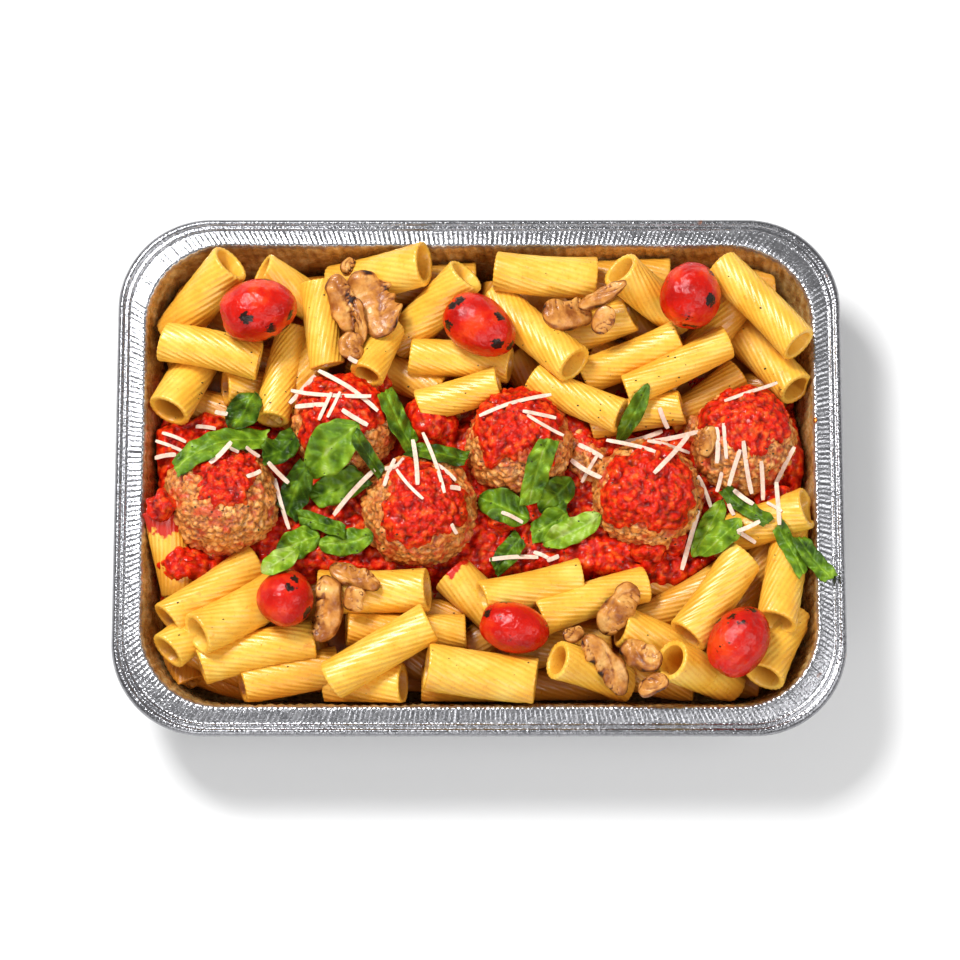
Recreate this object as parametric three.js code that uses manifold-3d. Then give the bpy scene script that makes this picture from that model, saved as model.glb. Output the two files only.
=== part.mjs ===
// A rectangular foil tray heaped with rigatoni, meatballs in tomato sauce, blistered tomatoes,
// mushrooms and basil. Millimetres, +Z up, +X to the right, +Y to the back.
// The origin is the middle of the tray's underside, on the surface that it stands on.
import * as THREE from "three";
import { mergeVertices } from "three/addons/utils/BufferGeometryUtils.js";
import Module from "manifold-3d";

const wasm = await Module();
wasm.setup();

// Tray: the ledge's inner edge is the reference outline, and everything else is offset from it.
const LEDGE_HALF_X = 152;
const LEDGE_HALF_Y = 106.5;
const LEDGE_CORNER = 37;
const RIM_WIDTH = 13; // from the ledge's inner edge to the outside of the rolled bead
const RIM_CORNER_GROWTH = 5; // the outer corner radius is this much over the inner one
const TRAY_HEIGHT = 50;
const WALL_LEAN = Math.tan(THREE.MathUtils.degToRad(11));
const WALL = 0.6;
const CORNER_STEPS = 4;
const FLOOR_FILLET = 3.6; // from the foot of the wall to the flat of the floor
const LEDGE_FOOT = 48.5; // height where the wall turns out into the ledge

// Food
const GAP = 0.35; // between neighbouring pieces
const ROOM_TOP = 120; // the food may be heaped up to here
const CORE_TOP = 34; // tightly packed pasta below the pieces that show
const BORE_SHARE = 0.74; // the opening's width over the tube's
const BORE_DEPTH = 15;
const TUBE_SIDES = 6;
const TUBE_SQUASH = 3; // cooked pasta gives by this much where two tubes cross
const BALL_SQUASH = 2;
const SETTLE_PASSES = 60;
const SPRING_BACK = 0.06; // how far each pass returns a tube towards where it was laid
const OPEN_END_RISE = 9; // a tube whose one end is this much higher shows that end's opening
const SAUCE_LEVEL = 39;
const SAUCE_DEPTH = 40; // more than the sauce is ever heaped over the packed pasta
const SAUCE_RELIEF = { width: 320, length: 110, cell: 20 }; // grid of the sauce's surface
const SAUCE_EDGE_POINTS = 44;
const BALL_DETAIL = 2;
const DOLLOP_SPOKES = 10;
const LOBE_END = 0.22; // a mushroom's width at its very end, over its full width
const LOBE_STEPS = 4;
const LOBE_SIDES = 6;
const LEAF_STEPS = 4;
const LEAF_THICKNESS = 0.8;
const LEAF_TIP = 0.5; // half the width at a leaf's tip
const DRAPE_PASSES = 8;
const CRUMB = 300; // mm3, the most that a cut may shave off as a loose bit
const LEAF_SLOPE = 0.9; // the steepest that a leaf hangs
const MUSHROOM_SLOPE = 0.35;

// Rigatoni that show: one end (x, y, z), the other end (x, y, z) and the diameter.
const RIGATONI = [
  [-138, 67, 33, -111, 95, 60, 19],
  [-144, 61, 50, -99, 51, 51, 17],
  [-141, 29, 50, -128, 66, 32, 19],
  [-84, 71, 42, -95, 25, 48, 15.5],
  [-99, 93, 61, -58, 72, 36, 17],
  [-77, 88, 50, -68, 43, 50, 15.5],
  [-68, 88, 38, -25, 96, 58, 19],
  [-116, 42, 42, -72, 36, 34, 16],
  [-39, 68, 44, -57, 32, 50, 16],
  [-32, 56, 44, 17, 49, 46, 16],
  [-27, 32, 46, 9, 42, 52, 15],
  [-5, 91, 58, -40, 64, 36, 18.5],
  [6, 93, 52, 54, 91, 52, 17.8],
  [6, 85, 42, 43, 48, 60, 17.6],
  [62, 91, 60, 98, 69, 38, 17.5],
  [28, 62, 36, 72, 78, 46, 16],
  [46, 45, 44, 92, 65, 46, 16],
  [66, 36, 51, 113, 61, 52, 15],
  [95, 56, 34, 122, 89, 42, 16],
  [111, 96, 48, 145, 57, 60, 17.5],
  [108, 76, 34, 143, 38, 50, 17.5],
  [124, 49, 38, 88, 24, 38, 15],
  [50, 25, 42, 93, 31, 44, 15],
  [22, 47, 46, 66, 28, 48, 15.5],
  [-140, -67, 48, -102, -38, 38, 17],
  [-126, -75, 58, -88, -50, 40, 19.5],
  [-125, -88, 43, -74, -76, 42, 18],
  [-108, -94, 36, -62, -90, 34, 17],
  [-137, -74, 34, -100, -92, 34, 16],
  [-66, -95, 50, -22, -69, 54, 18],
  [-30, -93, 44, -70, -94, 34, 17.5],
  [-60, -70, 42, -6, -71, 42, 15],
  [-72, -53, 43, -23, -53, 48, 19],
  [-18, -34, 42, 14, -68, 40, 18.6],
  [1, -58, 52, 46, -47, 48, 15.5],
  [27, -66, 50, 75, -50, 46, 16],
  [-26, -90, 52, 28, -93, 52, 21],
  [-28, -94, 36, 24, -94, 36, 16],
  [32, -89, 58, 66, -98, 34, 17],
  [64, -70, 52, 106, -84, 34, 17],
  [92, -76, 52, 119, -38, 52, 18.3],
  [85, -87, 64, 113, -97, 30, 18],
  [133, -70, 56, 143, -23, 42, 17.5],
  [149, -18, 52, 105, -28, 36, 18],
  [127, -93, 52, 144, -62, 38, 18.5],
  [-143, -14, 48, -135, -52, 34, 15.5],
];

// Meatballs: centre x, y, z and radius.
const MEATBALLS = [
  [-116.5, -10, 42, 26],
  [-62, 23, 42, 24],
  [-27, -16, 43, 25.5],
  [18, 15, 42, 24],
  [76, -9, 42, 25.5],
  [120, 16, 42, 24],
];

// Spooned sauce on each meatball: where its middle sits (direction), its angular reach and thickness.
const DOLLOPS = [
  { toward: [0.13, 0.3, 0.94], reach: 36, thick: 2.4 },
  { toward: [-0.08, 0.3, 0.95], reach: 60, thick: 3 },
  { toward: [0.12, 0.02, 1], reach: 52, thick: 2.8 },
  { toward: [-0.04, 0.42, 0.9], reach: 60, thick: 3.2 },
  { toward: [0.04, 0.0, 1], reach: 56, thick: 3 },
  { toward: [0.06, 0.5, 0.85], reach: 56, thick: 3.2 },
];

// Tomatoes: centre x, y, z, heading of the long axis, half length, half width.
const TOMATOES = [
  [-100, 72, 66, 12, 18, 14],
  [0, 66, 62, -33, 18, 13],
  [96, 80, 62, 80, 15.5, 14],
  [-86.5, -59, 59, 60, 13, 12.6],
  [15.5, -72, 58, -15, 16, 11.4],
  [115.5, -79, 62, 58, 17, 13],
];

// Mushroom pieces: centre x, centre y, heading, length, width, thickness, bend along the length in
// degrees, and how blunt the ends are (0 pointed, 1 round).
const MUSHROOMS = [
  [-49, 77, 118, 33, 21, 7, -55, 0.9],
  [-62, 76, 108, 28, 12, 8, -25, 0.6],
  [-54, 68, 97, 21, 6, 5, 10, 0.5],
  [-58, 56, 80, 13, 11, 8, 0, 1],
  [40, 72, 4, 23, 15, 8, 10, 0.9],
  [56, 79, 25, 24, 7, 6, 20, 0.4],
  [56, 68, 60, 13, 9, 4, 0, 0.7],
  [-67, -63, 265, 31, 12, 9, -70, 0.6],
  [-56, -49, -24, 25, 10, 8, 20, 0.6],
  [-56, -59, 70, 11, 10, 6, 0, 1],
  [62, -63, 56, 26, 13, 9, -25, 0.7],
  [57, -88, -53, 31, 12, 8, -35, 0.6],
  [72, -85, -32, 20, 12, 8, 15, 0.8],
  [77, -99, 25, 14, 8, 6, 20, 0.8],
];

// Basil: centre x, centre y, heading, length, width, bend in plan, and how pointed the ends are
// (0 a cut ribbon, 1 a whole leaf).
const BASIL = [
  [-118, 11, 22, 44, 13, -38, 0.4],
  [-107, 29, 60, 20, 15, 10, 0.7],
  [-90, 11, 35, 18, 13, 20, 0.6],
  [-64, -6, 20, 26, 13, 10, 0.6],
  [-66, 9, 38, 31, 19, 8, 1],
  [-50, 6, -52, 20, 7, 0, 0.6],
  [-83, -8, 62, 21, 13, -20, 0.5],
  [-82, -31, 25, 21, 13, -20, 0.7],
  [-60, -31, 8, 25, 11, 15, 0.7],
  [-71, -22, -20, 23, 8, -15, 0.5],
  [-89, -42, 40, 20, 11, 25, 0.7],
  [-37, 24, -62, 27, 10, 15, 0.5],
  [-19, 8, -8, 27, 9, 10, 0.5],
  [11, -15, -25, 25, 14, 15, 0.8],
  [35, -9, 45, 21, 12, 10, 0.8],
  [26, -1, 72, 28, 11, -15, 0.3],
  [32, -22, 30, 19, 11, 10, 0.6],
  [42, -26, 24, 28, 11, 15, 0.7],
  [13, -35, 50, 19, 10, 10, 0.5],
  [70, 27, 60, 28, 7, 10, 1],
  [104, -24, 62, 30, 9, 12, 0.9],
  [109, -30, 42, 24, 11, 15, 0.9],
  [120, -16, -42, 26, 7, 10, 0.5],
  [140, -36, -62, 25, 8, -10, 0.5],
  [150, -40, -52, 24, 9, 15, 0.5],
];

// The sauce's edge, and the places where it is heaped: x, y, radius, height over the level.
const SAUCE_EDGE = [
  [-146, 22], [-125, 31], [-97, 24], [-80, 44], [-56, 46], [-38, 30], [-22, 33], [-8, 25],
  [2, 41], [28, 41], [45, 27], [70, 21], [95, 25], [106, 42], [130, 41], [144, 28], [147, 5],
  [144, -12], [128, -24], [108, -38], [90, -49], [66, -45], [38, -43], [14, -44], [-10, -44],
  [-40, -45], [-62, -42], [-82, -47], [-104, -42], [-124, -47], [-137, -42], [-139, -28], [-146, -12],
];
const SAUCE_MOUNDS = [
  [-138, 18, 22, 7], [-128, -40, 16, 6], [-70, -38, 26, 5], [-22, 22, 16, 9],
  [60, -40, 40, 8], [142, 10, 18, 9], [136, -14, 14, 6], [45, 20, 16, 5],
];

const rad = THREE.MathUtils.degToRad;

const MATERIALS = {
  foil: new THREE.MeshStandardMaterial({ color: 0xc9cacc, roughness: 0.3, metalness: 1 }),
  pasta: new THREE.MeshStandardMaterial({ color: 0xf2b63c, roughness: 0.4 }),
  sauce: new THREE.MeshStandardMaterial({ color: 0xc41a0c, roughness: 0.25 }),
  meat: new THREE.MeshStandardMaterial({ color: 0xa8612e, roughness: 0.6 }),
  tomato: new THREE.MeshStandardMaterial({ color: 0xd81e0e, roughness: 0.15 }),
  mushroom: new THREE.MeshStandardMaterial({ color: 0xa8692f, roughness: 0.4 }),
  basil: new THREE.MeshStandardMaterial({ color: 0x2f7a22, roughness: 0.45 }),
};

const part = new THREE.Group();

function add(name, geometry, material) {
  const mesh = new THREE.Mesh(geometry, MATERIALS[material]);
  mesh.name = name;
  mesh.updateMatrixWorld(true);
  part.add(mesh);
  return mesh;
}

// ---- closed meshes and solids ----

function solidOf(geometry) {
  const bare = new THREE.BufferGeometry().setAttribute("position", geometry.getAttribute("position"));
  bare.setIndex(geometry.getIndex());
  const merged = mergeVertices(bare, 1e-4);
  return new wasm.Manifold(
    new wasm.Mesh({
      numProp: 3,
      vertProperties: merged.getAttribute("position").array,
      triVerts: new Uint32Array(merged.getIndex().array),
    }),
  );
}

// The largest body of a solid as a geometry: cuts can leave crumbs beside it.
function geometryOf(solid) {
  const bodies = solid.decompose();
  bodies.sort((a, b) => b.volume() - a.volume());
  if (bodies.length > 1 && bodies[1].volume() > CRUMB) {
    const loose = bodies[1].boundingBox();
    throw new Error(`a loose piece of ${bodies[1].volume()} mm3 at ${loose.min} to ${loose.max}`);
  }
  const mesh = bodies[0].getMesh();
  const positions = new Float32Array(mesh.numVert * 3);
  for (let i = 0; i < mesh.numVert; i++) {
    positions.set(mesh.vertProperties.subarray(i * mesh.numProp, i * mesh.numProp + 3), i * 3);
  }
  return new THREE.BufferGeometry()
    .setAttribute("position", new THREE.BufferAttribute(positions, 3))
    .setIndex(new THREE.BufferAttribute(mesh.triVerts, 1));
}

// A closed mesh from rings of equally many points, with a fan closing the first and the last ring.
function loft(rings) {
  const n = rings[0].length;
  const points = rings.flat();
  const first = points.length;
  for (const ring of [rings[0], rings[rings.length - 1]]) {
    const middle = ring.reduce((sum, p) => sum.map((s, k) => s + p[k] / n), [0, 0, 0]);
    points.push(middle);
  }
  const faces = [];
  for (let r = 0; r + 1 < rings.length; r++) {
    for (let i = 0; i < n; i++) {
      const a = r * n + i;
      const b = r * n + ((i + 1) % n);
      faces.push(a, b, b + n, a, b + n, a + n);
    }
  }
  const last = (rings.length - 1) * n;
  for (let i = 0; i < n; i++) {
    faces.push(first, (i + 1) % n, i, first + 1, last + i, last + ((i + 1) % n));
  }
  return new THREE.BufferGeometry()
    .setAttribute("position", new THREE.BufferAttribute(new Float32Array(points.flat()), 3))
    .setIndex(faces);
}

// ---- tray ----

// The tray's outline, moved out by offset, at a height. Counter-clockwise from above.
function trayRing(offset, z) {
  const corner = LEDGE_CORNER + (offset > 0 ? (offset * RIM_CORNER_GROWTH) / RIM_WIDTH : offset);
  const ring = [];
  for (let quarter = 0; quarter < 4; quarter++) {
    const sx = quarter === 0 || quarter === 3 ? 1 : -1;
    const sy = quarter < 2 ? 1 : -1;
    for (let i = 0; i <= CORNER_STEPS; i++) {
      const angle = (quarter + i / CORNER_STEPS) * (Math.PI / 2);
      ring.push([
        sx * (LEDGE_HALF_X + offset - corner) + corner * Math.cos(angle),
        sy * (LEDGE_HALF_Y + offset - corner) + corner * Math.sin(angle),
        z,
      ]);
    }
  }
  return ring;
}

// How far the inside of the wall has leaned in at a height.
const wallInset = (z) => (TRAY_HEIGHT - z) * WALL_LEAN;

function makeTray() {
  const floor = wallInset(0);
  const profile = [
    [-floor - FLOOR_FILLET, WALL], // inside: floor, fillet and wall
    [-floor - 1, WALL + 1],
    [-wallInset(5), 5],
    [-wallInset(LEDGE_FOOT) - 0.2, LEDGE_FOOT],
    [0.6, 50.2], // ledge, falling a little outwards to a groove
    [7.2, 48.8],
    [8.5, 49.7], // narrow ridge
    [9.4, 49.1],
    [10.9, 50.2], // rolled bead
    [12.5, 49.4],
    [RIM_WIDTH, 47.6],
    [12.2, 45.8],
    [10.4, 45.4],
    [9, 46.8],
    [7.2, 48.1], // underside of the ledge and outside of the wall
    [1, 49.4],
    [-wallInset(47.5) + WALL, 47.5],
    [-wallInset(5) + WALL, 4.6],
    [-floor - 0.6, 0.6],
    [-floor - 2.8, 0],
  ];
  return loft(profile.map(([offset, z]) => trayRing(offset, z)).reverse());
}

// The room inside the tray, with no top: it widens over the rim.
function insideSolid() {
  const clear = GAP + 0.5;
  const overRim = TRAY_HEIGHT + 0.8;
  return solidOf(
    loft([
      trayRing(-wallInset(0) - FLOOR_FILLET - clear, WALL + GAP),
      trayRing(-wallInset(5) - clear, 5),
      trayRing(-wallInset(LEDGE_FOOT) - clear, LEDGE_FOOT),
      trayRing(0.4, overRim),
      trayRing(RIM_WIDTH, overRim),
      trayRing(RIM_WIDTH, ROOM_TOP),
    ]),
  );
}

// ---- rigatoni ----

// Shares along two tubes' axes of the points where they come closest.
function closestShares(one, two) {
  const u = one.b.clone().sub(one.a);
  const v = two.b.clone().sub(two.a);
  const w = one.a.clone().sub(two.a);
  const uu = u.dot(u);
  const vv = v.dot(v);
  const uv = u.dot(v);
  const across = uu * vv - uv * uv;
  const clamp = (value) => THREE.MathUtils.clamp(value, 0, 1);
  let s = across > 1e-6 ? clamp((uv * v.dot(w) - vv * u.dot(w)) / across) : 0.5;
  const t = clamp((v.dot(w) + s * uv) / vv);
  s = clamp((t * uv - u.dot(w)) / uu);
  return [s, t];
}

// Moves the point of a tube's axis at share s, turning the tube a little.
function nudge(tube, s, move) {
  tube.a.addScaledVector(move, 1 - s);
  tube.b.addScaledVector(move, s);
}

// Presses the tubes apart until they only dent each other and the meatballs.
function settleRigatoni() {
  const tubes = RIGATONI.map(([x1, y1, z1, x2, y2, z2, diameter]) => ({
    a: new THREE.Vector3(x1, y1, z1),
    b: new THREE.Vector3(x2, y2, z2),
    radius: diameter / 2,
  }));
  const laid = tubes.map(({ a, b }) => ({ a: a.clone(), b: b.clone() }));
  const apart = new THREE.Vector3();
  for (let pass = 0; pass < SETTLE_PASSES; pass++) {
    tubes.forEach((one, i) => {
      for (const two of tubes.slice(i + 1)) {
        const [s, t] = closestShares(one, two);
        apart.lerpVectors(one.a, one.b, s).sub(new THREE.Vector3().lerpVectors(two.a, two.b, t));
        const short = one.radius + two.radius - TUBE_SQUASH - apart.length();
        if (short <= 0) continue;
        apart.setLength(short / 2);
        nudge(one, s, apart);
        nudge(two, t, apart.negate());
      }
      for (const [x, y, z, radius] of MEATBALLS) {
        const centre = new THREE.Vector3(x, y, z);
        const nearest = new THREE.Line3(one.a, one.b).closestPointToPointParameter(centre, true);
        apart.lerpVectors(one.a, one.b, nearest).sub(centre);
        const short = one.radius + radius - BALL_SQUASH - apart.length();
        if (short > 0) nudge(one, nearest, apart.setLength(short));
      }
      one.a.lerp(laid[i].a, SPRING_BACK);
      one.b.lerp(laid[i].b, SPRING_BACK);
    });
  }
  for (const tube of tubes) {
    tube.along = tube.b.clone().sub(tube.a).normalize();
    tube.length = tube.a.distanceTo(tube.b);
    tube.centre = tube.a.clone().lerp(tube.b, 0.5);
  }
  return tubes;
}

function rod(tube, radius, from, to) {
  return new THREE.CylinderGeometry(radius, radius, to - from, TUBE_SIDES)
    .translate(0, (from + to) / 2, 0)
    .applyQuaternion(new THREE.Quaternion().setFromUnitVectors(new THREE.Vector3(0, 1, 0), tube.along))
    .translate(...tube.centre.toArray());
}

function unionOfRods(tubes, grow) {
  const rods = tubes.map((tube) => {
    const half = tube.length / 2 + grow;
    return solidOf(rod(tube, tube.radius + grow, -half, half));
  });
  return wasm.Manifold.union(rods);
}

// The opening at a tube's higher end.
function bore(tube) {
  const half = tube.length / 2;
  const [from, to] = tube.along.z > 0 ? [half - BORE_DEPTH, half + 1] : [-half - 1, BORE_DEPTH - half];
  return solidOf(rod(tube, tube.radius * BORE_SHARE, from, to));
}

function makeHeap(tubes, room, inside) {
  const core = solidOf(
    loft([
      trayRing(-wallInset(0) - FLOOR_FILLET - 1.4, WALL + GAP),
      trayRing(-wallInset(5) - 1, 5),
      trayRing(-wallInset(CORE_TOP) - 1, CORE_TOP),
    ]),
  );
  const bores = tubes.filter((tube) => Math.abs(tube.b.z - tube.a.z) > OPEN_END_RISE).map(bore);
  return unionOfRods(tubes, 0).add(core).subtract(wasm.Manifold.union(bores)).intersect(inside).subtract(room);
}

// ---- meatballs and their sauce ----

// A rough ball: the surface rises and falls by about a millimetre.
function ball(x, y, z, radius, grow) {
  const geometry = new THREE.IcosahedronGeometry(radius + grow, BALL_DETAIL);
  const position = geometry.getAttribute("position");
  const p = new THREE.Vector3();
  for (let i = 0; i < position.count; i++) {
    p.fromBufferAttribute(position, i).normalize();
    const rough =
      0.6 * Math.sin(5 * p.x + x) * Math.cos(4 * p.y + y) + 0.4 * Math.sin(7 * p.z + 3 * p.x + x);
    p.multiplyScalar(radius + grow + rough);
    position.setXYZ(i, p.x + x, p.y + y, p.z + z);
  }
  return geometry;
}

// Sauce spooned over a ball: a domed patch with a wavy edge, hollowed by the ball.
function makeDollop([x, y, z, radius], { toward, reach, thick }, index) {
  const rings = [];
  const turn = new THREE.Quaternion().setFromUnitVectors(
    new THREE.Vector3(0, 0, 1),
    new THREE.Vector3(...toward).normalize(),
  );
  // From the edge, sunk into the ball, up to the middle: share of the reach and height over the ball.
  const levels = [
    [1, -3],
    [1.02, thick * 0.45],
    [0.8, thick],
    [0.4, thick * 1.15],
  ];
  for (const [share, over] of levels) {
    const ring = [];
    for (let i = 0; i < DOLLOP_SPOKES; i++) {
      const angle = (i / DOLLOP_SPOKES) * 2 * Math.PI;
      const wave = 1 + 0.1 * Math.sin(3 * angle + index) + 0.07 * Math.sin(5 * angle + 2 * index);
      const tilt = rad(reach) * share * wave;
      const p = new THREE.Vector3(
        Math.sin(tilt) * Math.cos(angle),
        Math.sin(tilt) * Math.sin(angle),
        Math.cos(tilt),
      )
        .multiplyScalar(radius + over)
        .applyQuaternion(turn);
      ring.push([p.x + x, p.y + y, p.z + z]);
    }
    rings.push(ring);
  }
  return solidOf(loft(rings));
}

// ---- sauce between the meatballs ----

function sauceHeight(x, y) {
  const mounds = SAUCE_MOUNDS.map(([mx, my, radius, height]) => {
    const share = Math.min(1, Math.hypot(x - mx, y - my) / radius);
    return height * 0.5 * (1 + Math.cos(Math.PI * share));
  });
  const ripple = 0.7 * Math.sin(x / 5.3) * Math.cos(y / 4.1) + 0.5 * Math.sin((x + y) / 7.7);
  return SAUCE_LEVEL + Math.max(...mounds) + ripple;
}

function makeSauce(room, inside) {
  const bottom = CORE_TOP + GAP;
  const edge = new THREE.CatmullRomCurve3(SAUCE_EDGE.map(([x, y]) => new THREE.Vector3(x, y, 0)), true);
  const outline = new THREE.Shape(edge.getPoints(SAUCE_EDGE_POINTS).map((p) => new THREE.Vector2(p.x, p.y)));
  const block = new THREE.ExtrudeGeometry(outline, { depth: SAUCE_DEPTH, bevelEnabled: false });
  const { width, length, cell } = SAUCE_RELIEF;
  const relief = new THREE.PlaneGeometry(width, length, width / cell, length / cell);
  const top = relief.getAttribute("position");
  for (let i = 0; i < top.count; i++) {
    top.setZ(i, sauceHeight(top.getX(i), top.getY(i)));
  }
  return solidOf(block.translate(0, 0, bottom))
    .intersect(solidOf(skirted(relief, bottom - 1)))
    .subtract(room)
    .intersect(inside);
}

// Closes an open grid surface downwards to a flat bottom.
function skirted(surface, z) {
  const position = surface.getAttribute("position");
  const n = position.count;
  const points = [...position.array];
  for (let i = 0; i < n; i++) points.push(position.getX(i), position.getY(i), z);
  const faces = [...surface.getIndex().array];
  const used = new Map();
  for (let i = 0; i < faces.length; i += 3) {
    for (let k = 0; k < 3; k++) used.set(`${faces[i + k]},${faces[i + ((k + 1) % 3)]}`, true);
  }
  const top = faces.slice();
  for (let i = 0; i < top.length; i += 3) faces.push(top[i] + n, top[i + 2] + n, top[i + 1] + n);
  for (const key of used.keys()) {
    const [a, b] = key.split(",").map(Number);
    if (!used.has(`${b},${a}`)) faces.push(b, a, a + n, b, a + n, b + n);
  }
  return new THREE.BufferGeometry()
    .setAttribute("position", new THREE.BufferAttribute(new Float32Array(points), 3))
    .setIndex(faces);
}

// ---- pieces laid on top ----

const caster = new THREE.Raycaster();
const DOWN = new THREE.Vector3(0, 0, -1);

// Height of what is already in place at a point seen from above.
function topAt(x, y) {
  caster.set(new THREE.Vector3(x, y, ROOM_TOP), DOWN);
  const hit = caster.intersectObjects(part.children, false)[0];
  return hit ? hit.point.z : 0;
}

// Lowers a piece made about z = 0 until it rests on what is in place.
function drop(geometry) {
  const position = geometry.getAttribute("position");
  let lift = -Infinity;
  for (let i = 0; i < position.count; i++) {
    lift = Math.max(lift, topAt(position.getX(i), position.getY(i)) - position.getZ(i));
  }
  let solid = solidOf(geometry.translate(0, 0, lift));
  while (!placed.intersect(solid).isEmpty()) solid = solid.translate([0, 0, GAP]);
  solid = solid.translate([0, 0, GAP]);
  placed = placed.add(solid);
  return geometryOf(solid);
}

function tomato([x, y, z, heading, halfLength, halfWidth], grow) {
  const sphere = new THREE.SphereGeometry(1, 10, 7).rotateZ(Math.PI / 2);
  sphere.scale(halfLength + grow, halfWidth + grow, halfWidth + grow);
  return solidOf(sphere.rotateZ(rad(heading)).translate(x, y, z));
}

// Points along an arc in plan, with the direction of the arc at each.
function spine([x, y, heading, length, bend], steps) {
  const arc = rad(bend) || 1e-3;
  const facing = rad(heading);
  const points = [];
  for (let i = 0; i <= steps; i++) {
    const u = i / steps - 0.5;
    const chord = (length / arc) * Math.sin(arc * u);
    const sag = (length / arc) * (1 - Math.cos(arc * u));
    points.push({
      x: x + chord * Math.cos(facing) - sag * Math.sin(facing),
      y: y + chord * Math.sin(facing) + sag * Math.cos(facing),
      angle: facing + arc * u,
      u: 2 * u,
    });
  }
  return points;
}

// A lobe: oval sections along an arc, tapering to both ends and lying along what is below it.
function makeMushroom([x, y, heading, length, width, thick, bend, blunt]) {
  const points = spine([x, y, heading, length, bend], LOBE_STEPS);
  const heights = points.map((p) => topAt(p.x, p.y));
  const lift = drape(heights, points.length, 1, (MUSHROOM_SLOPE * length) / LOBE_STEPS);
  const rings = points.map((p, s) => {
    const round = Math.pow(1 - Math.pow(Math.abs(p.u), 2 + 1.5 * blunt), 0.6);
    const size = LOBE_END + (1 - LOBE_END) * round;
    return Array.from({ length: LOBE_SIDES }, (_, i) => {
      const turn = (i / LOBE_SIDES) * 2 * Math.PI;
      const across = 0.5 * width * size * Math.cos(turn);
      return [
        p.x - across * Math.sin(p.angle),
        p.y + across * Math.cos(p.angle),
        lift[s] + 0.5 * thick * size * Math.sin(turn),
      ];
    });
  });
  return drop(loft(rings));
}

// A leaf or a cut ribbon of leaf that drapes over what is below it.
function makeLeaf([x, y, heading, length, width, bend, point]) {
  const rows = 3;
  const plan = spine([x, y, heading, length, bend], LEAF_STEPS).flatMap((p) => {
    const half = LEAF_TIP + 0.5 * width * Math.pow(1 - Math.pow(Math.abs(p.u), 2.2), 0.8 * point);
    return [-half, 0, half].map((v) => [p.x - v * Math.sin(p.angle), p.y + v * Math.cos(p.angle)]);
  });
  const heights = plan.map(([px, py]) => topAt(px, py));
  const lift = drape(heights, LEAF_STEPS + 1, rows, (LEAF_SLOPE * length) / LEAF_STEPS);
  const points = plan.flatMap(([px, py], i) => [px, py, lift[i] + LEAF_THICKNESS]);
  const surface = new THREE.BufferGeometry()
    .setAttribute("position", new THREE.BufferAttribute(new Float32Array(points), 3))
    .setIndex(gridFaces(LEAF_STEPS + 1, rows));
  return drop(sheetOf(surface, LEAF_THICKNESS));
}

// Lifts a grid of heights to a smooth sheet that is nowhere below them and never steps by more than step.
function drape(heights, columns, rows, step) {
  let lift = heights.slice();
  for (let pass = 0; pass < DRAPE_PASSES; pass++) {
    lift = lift.map((value, i) => {
      const near = [];
      if (i >= rows) near.push(lift[i - rows]);
      if (i + rows < columns * rows) near.push(lift[i + rows]);
      if (i % rows > 0) near.push(lift[i - 1]);
      if (i % rows < rows - 1) near.push(lift[i + 1]);
      const mean = near.reduce((sum, v) => sum + v, 0) / near.length;
      return Math.max(heights[i], 0.5 * (value + mean), Math.max(...near) - step);
    });
  }
  return lift;
}

function gridFaces(columns, rows) {
  const faces = [];
  for (let c = 0; c + 1 < columns; c++) {
    for (let r = 0; r + 1 < rows; r++) {
      const i = c * rows + r;
      faces.push(i, i + rows, i + 1, i + 1, i + rows, i + rows + 1);
    }
  }
  return faces;
}

// Gives an open surface a thickness downwards.
function sheetOf(surface, thickness) {
  const closed = skirted(surface, 0);
  const position = closed.getAttribute("position");
  const n = surface.getAttribute("position").count;
  for (let i = 0; i < n; i++) position.setZ(i + n, position.getZ(i) - thickness);
  return closed;
}

// ---- assembly ----

const number = (i) => String(i + 1).padStart(2, "0");
const union = (solids) => wasm.Manifold.union(solids);
const inside = insideSolid();
const tubes = settleRigatoni();
const balls = MEATBALLS.map((row) => solidOf(ball(...row, 0)));
const ballRoom = union(MEATBALLS.map((row) => solidOf(ball(...row, GAP))));
const tomatoRoom = union(TOMATOES.map((row) => tomato(row, GAP)));
const tubeRoom = unionOfRods(tubes, GAP);

add("tray", makeTray(), "foil");
add("rigatoni_heap", geometryOf(makeHeap(tubes, ballRoom.add(tomatoRoom), inside)), "pasta");
add("sauce_bed", geometryOf(makeSauce(tubeRoom.add(ballRoom).add(tomatoRoom), inside)), "sauce");
balls.forEach((solid, i) => add(`meatball_${number(i)}`, geometryOf(solid), "meat"));
const sauceRoom = solidOf(part.getObjectByName("sauce_bed").geometry);
DOLLOPS.forEach((dollop, i) => {
  const others = union(balls.filter((_, k) => k !== i));
  const room = union([ballRoom, tubeRoom, sauceRoom, others]);
  add(`sauce_dollop_${number(i)}`, geometryOf(makeDollop(MEATBALLS[i], dollop, i).subtract(room)), "sauce");
});
TOMATOES.forEach((row, i) => add(`tomato_${number(i)}`, geometryOf(tomato(row, 0)), "tomato"));

// What is in place when the mushrooms and the basil are laid on it.
let placed = union(part.children.map((mesh) => solidOf(mesh.geometry)));
MUSHROOMS.forEach((row, i) => add(`mushroom_${number(i)}`, makeMushroom(row), "mushroom"));
BASIL.forEach((row, i) => add(`basil_${number(i)}`, makeLeaf(row), "basil"));

export default part;
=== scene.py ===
import math
import random

import bpy
import numpy as np
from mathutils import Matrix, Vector, noise
from mathutils.bvhtree import BVHTree


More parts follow.
